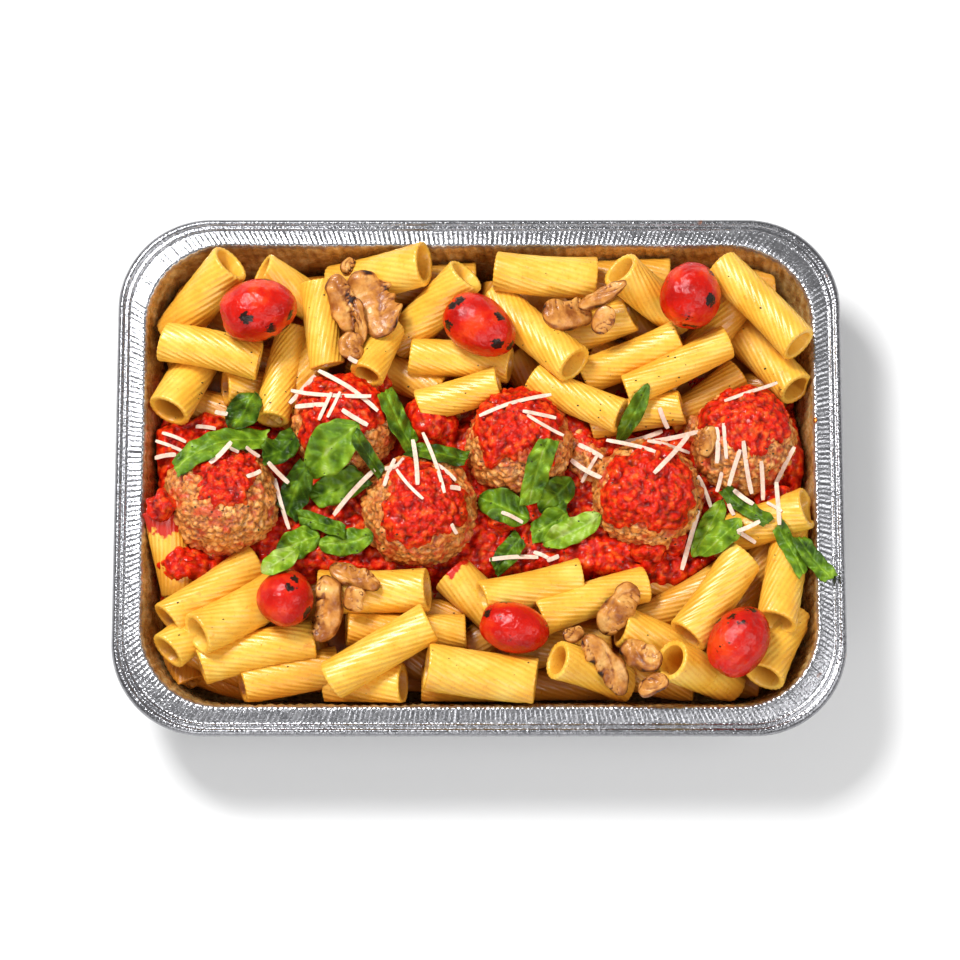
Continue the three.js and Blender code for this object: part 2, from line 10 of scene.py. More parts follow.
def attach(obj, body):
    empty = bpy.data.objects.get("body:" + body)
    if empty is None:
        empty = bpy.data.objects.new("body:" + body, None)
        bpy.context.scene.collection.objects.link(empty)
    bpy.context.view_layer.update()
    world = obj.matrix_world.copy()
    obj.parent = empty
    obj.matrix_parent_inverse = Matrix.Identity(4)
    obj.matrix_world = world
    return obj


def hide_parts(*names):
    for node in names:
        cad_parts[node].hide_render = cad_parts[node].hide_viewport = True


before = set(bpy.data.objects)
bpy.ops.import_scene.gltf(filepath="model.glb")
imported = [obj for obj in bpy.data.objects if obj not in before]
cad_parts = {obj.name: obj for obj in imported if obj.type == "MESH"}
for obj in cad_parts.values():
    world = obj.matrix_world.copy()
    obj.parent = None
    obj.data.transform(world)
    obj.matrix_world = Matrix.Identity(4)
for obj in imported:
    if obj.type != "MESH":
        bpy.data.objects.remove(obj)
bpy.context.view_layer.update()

# Everything below is laid out in millimetres and turned into metres when a mesh is made.
MM = 0.001

# Tray, as in the CAD: the ledge's inner edge is the reference outline.
LEDGE_HALF_X = 152.0
LEDGE_HALF_Y = 106.5
LEDGE_CORNER = 37.0
RIM_WIDTH = 13.0
RIM_CORNER_GROWTH = 5.0
TRAY_HEIGHT = 50.0
WALL_LEAN = math.tan(math.radians(11))

# Rigatoni that show, as in the CAD: one end, the other end and the diameter.
RIGATONI = [
    (-138, 67, 33, -111, 95, 60, 19), (-144, 61, 50, -99, 51, 51, 17), (-141, 29, 50, -128, 66, 32, 19),
    (-84, 71, 42, -95, 25, 48, 15.5), (-99, 93, 61, -58, 72, 36, 17), (-77, 88, 50, -68, 43, 50, 15.5),
    (-68, 88, 38, -25, 96, 58, 19), (-116, 42, 42, -72, 36, 34, 16), (-39, 68, 44, -57, 32, 50, 16),
    (-32, 56, 44, 17, 49, 46, 16), (-27, 32, 46, 9, 42, 52, 15), (-5, 91, 58, -40, 64, 36, 18.5),
    (6, 93, 52, 54, 91, 52, 17.8), (6, 85, 42, 43, 48, 60, 17.6), (62, 91, 60, 98, 69, 38, 17.5),
    (28, 62, 36, 72, 78, 46, 16), (46, 45, 44, 92, 65, 46, 16), (66, 36, 51, 113, 61, 52, 15),
    (95, 56, 34, 122, 89, 42, 16), (111, 96, 48, 145, 57, 60, 17.5), (108, 76, 34, 143, 38, 50, 17.5),
    (124, 49, 38, 88, 24, 38, 15), (50, 25, 42, 93, 31, 44, 15), (22, 47, 46, 66, 28, 48, 15.5),
    (-140, -67, 48, -102, -38, 38, 17), (-126, -75, 58, -88, -50, 40, 19.5),
    (-125, -88, 43, -74, -76, 42, 18), (-108, -94, 36, -62, -90, 34, 17),
    (-137, -74, 34, -100, -92, 34, 16), (-66, -95, 50, -22, -69, 54, 18),
    (-30, -93, 44, -70, -94, 34, 17.5), (-60, -70, 42, -6, -71, 42, 15), (-72, -53, 43, -23, -53, 48, 19),
    (-18, -34, 42, 14, -68, 40, 18.6), (1, -58, 52, 46, -47, 48, 15.5), (27, -66, 50, 75, -50, 46, 16),
    (-26, -90, 52, 28, -93, 52, 21), (-28, -94, 36, 24, -94, 36, 16), (32, -89, 58, 66, -98, 34, 17),
    (64, -70, 52, 106, -84, 34, 17), (92, -76, 52, 119, -38, 52, 18.3), (85, -87, 64, 113, -97, 30, 18),
    (133, -70, 56, 143, -23, 42, 17.5), (149, -18, 52, 105, -28, 36, 18),
    (127, -93, 52, 144, -62, 38, 18.5), (-143, -14, 48, -135, -52, 34, 15.5),
]

# Rigatoni that only peep out from under the others.
RIGATONI_BELOW = [
    (-146, 84, 30, -98, 62, 31, 17), (-96, 84, 33, -50, 95, 36, 17), (-80, 68, 30, -88, 26, 29, 17),
    (-44, 90, 30, 2, 94, 32, 17), (-36, 78, 30, 8, 60, 30, 17), (-24, 64, 30, -20, 20, 30, 17),
    (6, 96, 34, -2, 54, 33, 17), (40, 94, 34, 88, 94, 34, 17), (58, 84, 33, 96, 54, 32, 17),
    (20, 66, 32, 40, 24, 31, 17), (52, 62, 30, 92, 44, 29, 17), (132, 58, 30, 142, 12, 32, 17),
    (86, 92, 31, 136, 92, 31, 17), (-146, 46, 31, -104, 38, 31, 17), (14, -80, 33, 60, -72, 34, 16),
    (112, -64, 34, 134, -26, 34, 16), (72, -66, 34, 114, -44, 34, 15.5), (-54, -60, 38, -4, -61, 38, 15),
    (-142, -58, 31, -104, -34, 31, 17), (-142, -88, 30, -112, -52, 30, 17),
    (-84, -64, 31, -66, -96, 31, 17), (-8, -84, 33, 24, -52, 32, 17), (54, -95, 33, 106, -95, 32, 16),
    (138, -82, 31, 142, -38, 31, 16), (88, -84, 29, 128, -92, 30, 17), (60, -48, 33, 104, -50, 33, 16),
    (-104, -70, 29, -62, -46, 29, 17), (-44, -78, 31, 2, -94, 29, 17), (20, -96, 29, 66, -96, 29, 16),
    (-116, 60, 30, -70, 56, 30, 17), (126, 80, 31, 142, 40, 30, 17), (-146, 70, 30, -128, 30, 30, 17),
    (-60, 66, 31, -14, 44, 31, 16), (28, 44, 30, 72, 24, 30, 16), (96, 40, 30, 140, 60, 30, 16),
    (-140, -20, 31, -118, -60, 29, 16), (-143, -66, 28, -126, -92, 28, 16),
    (-131, -82, 27, -100, -101, 27, 17),
]

# How far tubes dent each other and the meatballs, how often they are pressed apart, and how much of the way
# back to their place they go each time.
TUBE_SQUASH = 3.0
BALL_SQUASH = 2.0
SETTLE_PASSES = 60
SPRING_BACK = 0.06

# Meatballs: centre x, y, z and radius.
MEATBALLS = [
    (-116.5, -10, 42, 26), (-62, 23, 42, 24), (-27, -16, 43, 25.5),
    (18, 15, 42, 24), (76, -9, 42, 25.5), (120, 16, 42, 24),
]

# Sauce on each meatball: direction of its middle, angular reach and thickness.
DOLLOPS = [
    ((0.13, 0.3, 0.94), 36, 2.4), ((-0.08, 0.3, 0.95), 60, 3.0), ((0.12, 0.02, 1), 52, 2.8),
    ((-0.04, 0.42, 0.9), 60, 3.2), ((0.04, 0.0, 1), 56, 3.0), ((0.06, 0.5, 0.85), 56, 3.2),
]

# Tomatoes: centre x, y, z, heading, half length, half width, how wrinkled.
TOMATOES = [
    (-100, 72, 66, 12, 18, 14, 0.5), (0, 66, 62, -33, 18, 13, 0.6), (96, 80, 62, 80, 15.5, 14, 1.0),
    (-86.5, -59, 59, 60, 13, 12.6, 0.3), (15.5, -72, 58, -15, 16, 11.4, 0.5),
    (115.5, -79, 62, 58, 17, 13, 1.0),
]

# Mushroom pieces: centre x, y, heading, length, width, thickness, bend, bluntness.
MUSHROOMS = [
    (-49, 77, 118, 33, 21, 7, -55, 0.9), (-62, 76, 108, 28, 12, 8, -25, 0.6),
    (-54, 68, 97, 21, 6, 5, 10, 0.5), (-58, 56, 80, 13, 11, 8, 0, 1), (40, 72, 4, 23, 15, 8, 10, 0.9),
    (56, 79, 25, 24, 7, 6, 20, 0.4), (56, 68, 60, 13, 9, 4, 0, 0.7), (-67, -63, 265, 31, 12, 9, -70, 0.6),
    (-56, -49, -24, 25, 10, 8, 20, 0.6), (-56, -59, 70, 11, 10, 6, 0, 1),
    (62, -63, 56, 26, 13, 9, -25, 0.7), (57, -88, -53, 31, 12, 8, -35, 0.6),
    (72, -85, -32, 20, 12, 8, 15, 0.8), (77, -99, 25, 14, 8, 6, 20, 0.8),
]

# Small bits of mushroom beside them.
MUSHROOM_BITS = [
    (103, 12, 80, 14, 8, 6, 20, 0.7), (42, -75, 20, 10, 7, 5, 10, 0.8), (-60, 97, 70, 9, 6, 5, 0, 0.5),
]

# Loose mince and sauced lumps round the meatballs: x, y, z, radius, sauced or not.
LOOSE_LUMPS = [
    (-22, 27, 40, 12, True), (50, 8, 36, 10, False), (45, 17, 37, 7, False), (100, 22, 40, 7, False),
    (-90, 30, 38, 8, True), (-46, 46, 38, 6, True), (134, -12, 42, 9, True), (10, -18, 38, 8, True),
    (76, -34, 42, 9, True), (87, -29, 41, 8, True), (-143, -16, 54, 7, True), (-136, -40, 40, 9, True),
]

# Basil: centre x, y, heading, length, width, bend, pointedness, and a shade from dark to pale.
BASIL = [
    (-118, 11, 22, 44, 13, -38, 0.4, 0.5), (-107, 29, 60, 20, 15, 10, 0.7, 0.15),
    (-90, 11, 35, 18, 13, 20, 0.6, 0.1), (-64, -6, 20, 26, 13, 10, 0.6, 0.3),
    (-66, 9, 38, 31, 19, 8, 1, 0.6), (-50, 6, -52, 20, 7, 0, 0.6, 0.2),
    (-83, -8, 62, 21, 13, -20, 0.5, 0.1), (-82, -31, 25, 21, 13, -20, 0.7, 0.5),
    (-60, -31, 8, 25, 11, 15, 0.7, 0.5), (-71, -22, -20, 23, 8, -15, 0.5, 0.3),
    (-89, -42, 40, 20, 11, 25, 0.7, 0.9), (-37, 24, -62, 27, 10, 15, 0.5, 0.4),
    (-19, 8, -8, 27, 9, 10, 0.5, 0.2), (11, -15, -25, 25, 14, 15, 0.8, 0.4),
    (35, -9, 45, 21, 12, 10, 0.8, 0.3), (26, -1, 72, 28, 11, -15, 0.3, 0.5),
    (32, -22, 30, 19, 11, 10, 0.6, 0.5), (42, -26, 24, 28, 11, 15, 0.7, 0.9),
    (13, -35, 50, 19, 10, 10, 0.5, 0.3), (70, 27, 60, 28, 7, 10, 1, 0.4),
    (104, -24, 62, 30, 9, 12, 0.9, 0.7), (109, -30, 42, 24, 11, 15, 0.9, 0.6),
    (120, -16, -42, 26, 7, 10, 0.5, 0.3), (140, -36, -62, 25, 8, -10, 0.5, 0.5),
    (150, -40, -52, 24, 9, 15, 0.5, 0.3),
]

# The sauce: its level, its hidden bottom, its half length, and from where on it follows the short walls.
SAUCE_LEVEL = 39.0
SAUCE_BOTTOM = 21.0
SAUCE_HALF_LENGTH = 148.0
SAUCE_BENDS_AT = 130.0

# The sauce's edge in plan.
SAUCE_EDGE = [
    (-146, 22), (-125, 31), (-97, 24), (-80, 44), (-56, 46), (-38, 30), (-22, 33), (-8, 25), (2, 41),
    (28, 41), (45, 27), (70, 21), (95, 25), (106, 42), (130, 41), (144, 28), (147, 5), (144, -12),
    (128, -24), (108, -38), (90, -49), (66, -45), (38, -43), (14, -44), (-10, -44), (-40, -45), (-62, -42),
    (-82, -47), (-104, -42), (-124, -47), (-137, -42), (-139, -28), (-146, -12),
]

# Where the sauce is heaped: x, y, radius, height over the level.
SAUCE_MOUNDS = [
    (-138, 18, 22, 7), (-130, -44, 17, 11), (-70, -38, 26, 5), (-22, 22, 16, 9),
    (60, -40, 40, 8), (142, 10, 18, 9), (136, -14, 14, 6), (45, 20, 16, 5),
]

# Pasta ends that have sauce on them: x, y, reach.
SAUCED_ENDS = [(-142, -18, 14), (-15, -37, 13)]

# Parmesan shreds: from x, y to x, y.
SHREDS = [
    (-74.5, 45, -86, 32), (-72.6, 45, -45.5, 25), (-85, 36, -48.5, 31.5), (-83, 28.5, -69, 27.8),
    (-66.5, 33.5, -72, 20.5), (-62.5, 33.5, -68, 21.5), (-61.5, 25, -50, 18.5), (-59, 50, -55, 48),
    (-147, 16, -134.5, 11), (-144, 19.5, -133, 15), (-147.5, 8.7, -137.5, 9.3), (-129, 23, -120, 22.5),
    (-120.5, 30.5, -114.5, 28.5), (-111, 10.5, -120.5, 0.7), (-112, 8.5, -108, 7), (-105, 10, -99, 6.5),
    (-104, -5, -98, -1.5), (-95, 3, -86, -5), (-92.5, -2, -86, -24.5), (-47, -0.5, -66, -18),
    (-30, 14, -27.5, -9.7), (-25.5, 17.6, -15.5, -13), (-37, -2, -25, -16.3), (-19, 1.7, -10.5, -5.8),
    (-13, -10, -8.3, -10), (-38, 4.6, -42.7, -8.4), (-42.5, 0.3, -36, 1), (-34, 5, -38.5, 0),
    (-12.4, -26, -10, -30), (0, 23.4, 32.5, 34), (19.5, 25, 34.6, 22.7), (21.5, 23, 38, 14.7),
    (45, 14.7, 56, 8.2), (41.7, 7.5, 55, -3.3), (53.5, 9, 46.5, -2.6), (57.5, 15, 79, 6.4),
    (65, 16, 83.5, 21.6), (78, 14.7, 99, 18.4), (95, 17, 78, -4.4), (75.6, 12.6, 95, 8.6),
    (81.7, 30, 85.7, 21.3), (99, -17, 91.5, -43), (98.8, -1, 105, -14), (109.4, -0.4, 107.3, -8.4),
    (110.4, 30.6, 135, 40.6), (106.5, 18, 106.8, 2.5), (109.6, 19.5, 111, 4), (118.3, 11, 122.7, -10.5),
    (117, 7.5, 112.4, -7), (126.6, 3, 128, -12.7), (142.3, 11, 134, -4.8), (134, -4.8, 134.5, -25.7),
    (115, -7.6, 123.4, -15), (129.4, -14.5, 135.7, -19.5), (115.8, -27.8, 126, -23.5),
    (116, -28, 124.5, -32), (112.8, -13.4, 115, -19), (10, -18, 19.7, -22), (4.5, -38.3, 26.7, -37),
    (24.6, -34.3, 31, -37.5), (30.6, -38.6, 36, -36.5),
]


# ---- small tools ----

def smooth(low, high, value):
    """A smooth step from 0 at low to 1 at high, for a number or an array."""
    share = np.clip((value - low) / (high - low), 0.0, 1.0)
    return share * share * (3 - 2 * share)


def crumbs(x, y, z, size):
    """Flat-topped crumbs of about this size with cracks between them: 1 on a crumb, 0 in a crack."""
    near = noise.voronoi(Vector((x / size, y / size, z / size)))[0]
    return min(1.0, (near[1] - near[0]) * 2.6)


def lumps(x, y, z, size):
    """Rounded lumps of about this size: 1 at a lump's top, near 0 where lumps meet."""
    near = noise.voronoi(Vector((x / size, y / size, z / size)))[0]
    return max(0.0, 1 - 1.5 * near[0] * near[0])


def wobble(x, y, z, size):
    return noise.noise(Vector((x / size, y / size, z / size)))


class Shape:
    """Points and faces of one visible piece, gathered from several shapes."""

    def __init__(self):
        self.points = []
        self.faces = []
        self.shades = []
        self.coats = []
        self.count = 0

    def add(self, points, faces, shades=None, coats=None):
        none = np.zeros(len(points))
        self.points.append(np.asarray(points, dtype=float))
        self.faces.extend(tuple(i + self.count for i in face) for face in faces)
        self.shades.append(none if shades is None else np.asarray(shades, dtype=float))
        self.coats.append(none if coats is None else np.asarray(coats, dtype=float))
        self.count += len(points)

    def all_points(self):
        return np.concatenate(self.points)

    def tree(self):
        return BVHTree.FromPolygons([tuple(p) for p in self.all_points()], self.faces)


def grid_faces(rows, columns, closed=False):
    """Quads over a grid of points, row after row. A closed grid joins its last column to its first."""
    faces = []
    for r in range(rows - 1):
        for c in range(columns if closed else columns - 1):
            d = (c + 1) % columns
            faces.append((r * columns + c, r * columns + d, (r + 1) * columns + d, (r + 1) * columns + c))
    return faces


def capped_faces(rings, around, first_cap):
    """Faces of closed rings, with both ends closed by the points first_cap and first_cap + 1."""
    faces = grid_faces(rings, around, closed=True)
    last = (rings - 1) * around
    for k in range(around):
        n = (k + 1) % around
        faces.append((first_cap, n, k))
        faces.append((first_cap + 1, last + k, last + n))
    return faces


def middle_of(points):
    return tuple(np.mean(np.array(points), axis=0))


def turned_round(faces):
    return [face[::-1] for face in faces]


def grid_edge(rows, columns):
    """The indices round the edge of a grid of points."""
    edge = list(range(columns)) + [r * columns + columns - 1 for r in range(1, rows)]
    edge += [(rows - 1) * columns + c for c in range(columns - 2, -1, -1)]
    return edge + [r * columns for r in range(rows - 2, 0, -1)]


def filled_down(top, rows, columns, bottom, spread=1.0):
    """Closes a grid surface with a skirt down to a flat bottom, which may be narrower or wider."""
    edge = grid_edge(rows, columns)
    low = top[edge].copy()
    low[:, :2] *= spread
    low[:, 2] = bottom
    count, around = len(top), len(edge)
    faces = grid_faces(rows, columns)
    for i in range(around):
        j = (i + 1) % around
        faces.append((edge[i], count + i, count + j, edge[j]))
    faces.append(tuple(count + i for i in range(around))[::-1])
    return np.concatenate([top, low]), faces


def make_piece(name, shape, material, nodes=()):
    """Turns a shape into a Blender object that rides on the tray."""
    mesh = bpy.data.meshes.new(name)
    mesh.from_pydata((shape.all_points() * MM).tolist(), [], shape.faces)
    mesh.polygons.foreach_set("use_smooth", np.ones(len(mesh.polygons), dtype=bool))
    for attribute, values in (("shade", shape.shades), ("coat", shape.coats)):
        layer = mesh.attributes.new(attribute, "FLOAT", "POINT")
        layer.data.foreach_set("value", np.concatenate(values))
    mesh.validate()
    mesh.materials.append(material)
    piece = bpy.data.objects.new(name, mesh)
    bpy.context.scene.collection.objects.link(piece)
    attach(piece, "root")
    if nodes:
        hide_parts(*nodes)
    return piece


# ---- materials ----

class Shader:
    """A short way to write a node material."""

    def __init__(self, name, **sockets):
        self.material = bpy.data.materials.new(name)
        self.material.use_nodes = True
        self.tree = self.material.node_tree
        self.main = self.tree.nodes["Principled BSDF"]
        for socket, value in sockets.items():
            self.main.inputs[socket.replace("_", " ")].default_value = value
        self.place = self.node("ShaderNodeTexCoord").outputs["Object"]

    def node(self, kind, **settings):
        made = self.tree.nodes.new(kind)
        for key, value in settings.items():
            setattr(made, key, value)
        return made

    def link(self, source, target):
        self.tree.links.new(source, target)

    def noise(self, scale, detail=4.0, rough=0.55):
        made = self.node("ShaderNodeTexNoise")
        made.inputs["Scale"].default_value = scale
        made.inputs["Detail"].default_value = detail
        made.inputs["Roughness"].default_value = rough
        self.link(self.place, made.inputs["Vector"])
        return made.outputs["Fac"]

    def cells(self, scale, output="Distance", feature="F1"):
        made = self.node("ShaderNodeTexVoronoi", feature=feature)
        made.inputs["Scale"].default_value = scale
        self.link(self.place, made.inputs["Vector"])
        return made.outputs[output]

    def stored(self, attribute):
        return self.node("ShaderNodeAttribute", attribute_name=attribute).outputs["Fac"]

    def height(self):
        split = self.node("ShaderNodeSeparateXYZ")
        self.link(self.place, split.inputs[0])
        return split.outputs["Z"]

    def ramp(self, source, *stops):
        made = self.node("ShaderNodeValToRGB")
        ramp = made.color_ramp
        while len(ramp.elements) < len(stops):
            ramp.elements.new(0.5)
        for element, (place, colour) in zip(ramp.elements, stops):
            element.position = place
            element.color = (*colour, 1) if isinstance(colour, tuple) else (colour, colour, colour, 1)
        self.link(source, made.inputs["Fac"])
        return made.outputs["Color"]

    def span(self, source, low, high, to_low=0.0, to_high=1.0):
        made = self.node("ShaderNodeMapRange")
        for socket, value in zip(("From Min", "From Max", "To Min", "To Max"), (low, high, to_low, to_high)):
            made.inputs[socket].default_value = value
        self.link(source, made.inputs["Value"])
        return made.outputs["Result"]

    def math(self, operation, one, two):
        made = self.node("ShaderNodeMath", operation=operation)
        for socket, value in zip(made.inputs, (one, two)):
            if isinstance(value, (int, float)):
                socket.default_value = value
            else:
                self.link(value, socket)
        return made.outputs[0]

    def mix(self, share, one, two, blend="MIX"):
        made = self.node("ShaderNodeMix", data_type="RGBA", blend_type=blend)
        for socket, value in zip((made.inputs[0], made.inputs[6], made.inputs[7]), (share, one, two)):
            if isinstance(value, tuple):
                socket.default_value = (*value, 1)
            elif isinstance(value, (int, float)):
                socket.default_value = value
            else:
                self.link(value, socket)
        return made.outputs[2]

    def bump(self, source, distance, strength=1.0):
        made = self.node("ShaderNodeBump")
        made.inputs["Distance"].default_value = distance
        made.inputs["Strength"].default_value = strength
        self.link(source, made.inputs["Height"])
        self.link(made.outputs["Normal"], self.main.inputs["Normal"])

    def feed(self, socket, source):
        self.link(source, self.main.inputs[socket])


def foil_material():
    """Bright crimped foil, darkened on the bead (coat 1) by painted shade, with baked stains inside the wall
    (shade 1).
    """
    m = Shader("foil")
    clean = m.ramp(m.noise(420, 3), (0.3, (0.33, 0.33, 0.35)), (0.7, (0.46, 0.46, 0.48)))
    # Painted shade: the bead (coat 1) is darkened towards grey, standing in for the shade it lies in.
    bead_painted_shade = m.mix(m.span(m.stored("coat"), 0.0, 1.0, 0.0, 0.6), clean, (0.17, 0.17, 0.18))
    stain = m.ramp(
        m.noise(190, 6), (0.32, (0.36, 0.16, 0.03)), (0.5, (0.66, 0.38, 0.09)), (0.68, (0.90, 0.68, 0.30)),
    )
    spots = m.math("MULTIPLY", m.span(m.cells(60), 0.11, 0.08), m.span(m.noise(20, 1), 0.54, 0.58))
    m.feed("Base Color", m.mix(m.stored("shade"), m.mix(spots, bead_painted_shade, (0.42, 0.12, 0.02)), stain))
    m.feed("Metallic", m.span(m.stored("shade"), 0.0, 1.0, 1.0, 0.2))
    m.feed("Roughness", m.span(m.noise(260, 3), 0.3, 0.7, 0.16, 0.32))
    m.bump(m.noise(900, 3), 0.0004, 0.7)
    return m.material


def pasta_material():
    """Cooked pasta: golden, painted shade in grooves and bore, sauce and painted shade low down. Coat is its
    share of sauce.
    """
    m = Shader(
        "pasta", Roughness=0.34, Subsurface_Weight=0.1, Subsurface_Scale=0.003, Coat_Weight=0.18,
        Coat_Roughness=0.2,
    )
    m.main.inputs["Subsurface Radius"].default_value = (1.0, 0.6, 0.2)
    tone = m.ramp(
        m.noise(75, 5), (0.3, (0.84, 0.39, 0.028)), (0.5, (0.91, 0.50, 0.050)), (0.72, (0.95, 0.62, 0.11)),
    )
    # Painted shade: darker orange in the grooves and down the bore, where the shade attribute is low.
    groove_painted_shade = m.mix(m.span(m.stored("shade"), 0.0, 0.7, 0.32, 0.0), tone, (0.74, 0.29, 0.018))
    speckled = m.mix(m.span(m.noise(950, 2), 0.6, 0.72, 0.0, 0.45), groove_painted_shade, (0.55, 0.19, 0.02))
    # Darker and more orange low down: partly sauce soaking the lower layers, partly painted shade in the
    # heap's depths.
    low = m.mix(m.span(m.height(), 0.030, 0.050, 0.8, 0.0), speckled, (0.42, 0.11, 0.007))
    smear = m.math("ADD", m.stored("coat"), m.span(m.noise(210, 4), 0.3, 0.7, -0.4, 0.4))
    wet = m.mix(m.span(smear, 0.35, 0.55), low, (0.56, 0.016, 0.002))
    pepper = m.math("MULTIPLY", m.span(m.cells(300), 0.12, 0.08), m.span(m.noise(100, 2), 0.62, 0.64))
    m.feed("Base Color", m.mix(pepper, wet, (0.12, 0.035, 0.01)))
    m.feed("Roughness", m.span(m.noise(300, 3), 0.3, 0.7, 0.26, 0.44))
    m.bump(m.noise(650, 4), 0.0004, 0.4)
    return m.material


def sauce_material():
    """Wet coarse tomato sauce: bright pulp, painted shade between the lumps, with seeds and herbs."""
    m = Shader("sauce", Roughness=0.32, Coat_Weight=0.22, Coat_Roughness=0.04, Specular_IOR_Level=0.12)
    tone = m.ramp(
        m.noise(300, 5), (0.3, (0.42, 0.004, 0.001)), (0.5, (0.76, 0.017, 0.002)), (0.7, (0.94, 0.14, 0.015)),
    )
    # Painted shade: dark between the lumps, where the shade attribute is low.
    crack_painted_shade = m.mix(m.span(m.stored("shade"), 0.05, 0.75, 0.95, 0.0), tone, (0.13, 0.001, 0.001))
    speck = m.math("MULTIPLY", m.span(m.cells(330), 0.2, 0.12), m.span(m.noise(120, 2), 0.62, 0.66))
    m.feed("Base Color", m.mix(speck, crack_painted_shade, (0.06, 0.012, 0.004)))
    m.bump(m.noise(620, 4), 0.0007, 0.7)
    return m.material


def meat_material():
    """Browned mince: orange-tan crumbs, painted shade in the cracks (shade 0), red and green flecks."""
    m = Shader("meat", Roughness=0.36, Coat_Weight=0.25, Coat_Roughness=0.1, Specular_IOR_Level=0.4)
    tone = m.ramp(
        m.noise(300, 5), (0.3, (0.50, 0.12, 0.018)), (0.5, (0.84, 0.31, 0.055)), (0.7, (0.96, 0.56, 0.19)),
    )
    # Painted shade: dark in the cracks between crumbs, where the shade attribute is low.
    crack_painted_shade = m.mix(m.span(m.stored("shade"), 0.05, 0.65, 0.9, 0.0), tone, (0.15, 0.018, 0.003))
    reddish = m.mix(m.span(m.noise(130, 5), 0.50, 0.62, 0.0, 0.8), crack_painted_shade, (0.60, 0.035, 0.008))
    herb = m.math("MULTIPLY", m.span(m.cells(380), 0.26, 0.18), m.span(m.noise(170, 2), 0.60, 0.63))
    m.feed("Base Color", m.mix(herb, reddish, (0.03, 0.04, 0.008)))
    m.bump(m.noise(800, 4), 0.0008, 0.8)
    return m.material


def tomato_material():
    """Glossy blistered skin with ragged char marks."""
    m = Shader("tomato", Specular_IOR_Level=0.35)
    tone = m.ramp(
        m.noise(70, 5), (0.3, (0.34, 0.003, 0.001)), (0.5, (0.58, 0.007, 0.001)), (0.7, (0.78, 0.060, 0.004)),
    )
    ragged = m.math("ADD", m.cells(90), m.math("MULTIPLY", m.noise(520, 4), 0.6))
    char = m.math("MULTIPLY", m.span(ragged, 0.57, 0.53), m.span(m.noise(60, 1), 0.36, 0.40))
    m.feed("Base Color", m.mix(char, tone, (0.02, 0.006, 0.004)))
    m.feed("Roughness", m.span(m.noise(150, 3), 0.35, 0.7, 0.07, 0.2))
    m.bump(m.noise(190, 6), 0.0022, 0.6)
    return m.material


def mushroom_material():
    """Seared mushroom: tan cut flesh, dark brown skin and gills, and painted shade in the creases (shade 1).
    """
    m = Shader("mushroom", Roughness=0.34, Coat_Weight=0.15, Coat_Roughness=0.08, Specular_IOR_Level=0.3)
    tone = m.ramp(
        m.noise(120, 5), (0.32, (0.28, 0.075, 0.010)), (0.5, (0.58, 0.23, 0.040)), (0.7, (0.82, 0.45, 0.13)),
    )
    # Shade mixes the skin's and gills' own dark brown with painted shade in the creases.
    patchy = m.math("ADD", m.stored("shade"), m.span(m.noise(150, 5), 0.3, 0.7, -0.35, 0.45))
    brown = m.mix(m.span(patchy, 0.2, 0.6), tone, (0.26, 0.070, 0.010))
    m.feed("Base Color", m.mix(m.span(patchy, 0.65, 0.9), brown, (0.030, 0.009, 0.005)))
    m.bump(m.noise(380, 4), 0.0009, 0.7)
    return m.material


def basil_material():
    """Leaf green; shade runs from dark (0) to pale (1); veins are paler, and painted light and shade pale
    raised crumples and darken dips.
    """
    m = Shader("basil", Roughness=0.4, Coat_Weight=0.08, Coat_Roughness=0.2, Specular_IOR_Level=0.25)
    leaf = m.ramp(
        m.stored("shade"), (0.0, (0.020, 0.050, 0.003)), (0.35, (0.12, 0.24, 0.008)),
        (0.7, (0.28, 0.46, 0.022)), (1.0, (0.52, 0.66, 0.20)),
    )
    patchy = m.mix(m.span(m.noise(260, 4), 0.42, 0.66, 0.0, 0.35), leaf, (0.045, 0.12, 0.004))
    m.feed("Base Color", patchy)
    m.bump(m.noise(330, 5), 0.0011, 0.8)
    return m.material


def cheese_material():
    """Fresh parmesan, here and there tinged by the sauce."""
    m = Shader("parmesan", Roughness=0.55, Subsurface_Weight=0.15, Subsurface_Scale=0.001)
    pale = m.ramp(m.noise(500, 3), (0.3, (0.74, 0.50, 0.38)), (0.7, (0.88, 0.72, 0.58)))
    m.feed("Base Color", m.mix(m.span(m.noise(90, 2), 0.58, 0.7, 0.0, 0.35), pale, (0.86, 0.42, 0.28)))
    m.bump(m.noise(1500, 3), 0.0002, 0.6)
    return m.material


def herb_material():
    m = Shader("dried_herbs", Roughness=0.7)
    m.feed("Base Color", m.ramp(m.noise(400, 2), (0.35, (0.02, 0.012, 0.006)), (0.65, (0.05, 0.055, 0.015))))
    m.bump(m.noise(1500, 2), 0.0002, 0.6)
    return m.material


# ---- tray ----

STRAIGHT_STEP = 0.7
CORNER_STEPS = 88
WALL_ROWS = (8, 14, 24, 31, 36, 40, 44, 47)
PLEAT_ROOM = 1.7  # how far pasta and sauce stay inside the wall's line, clear of its pleats


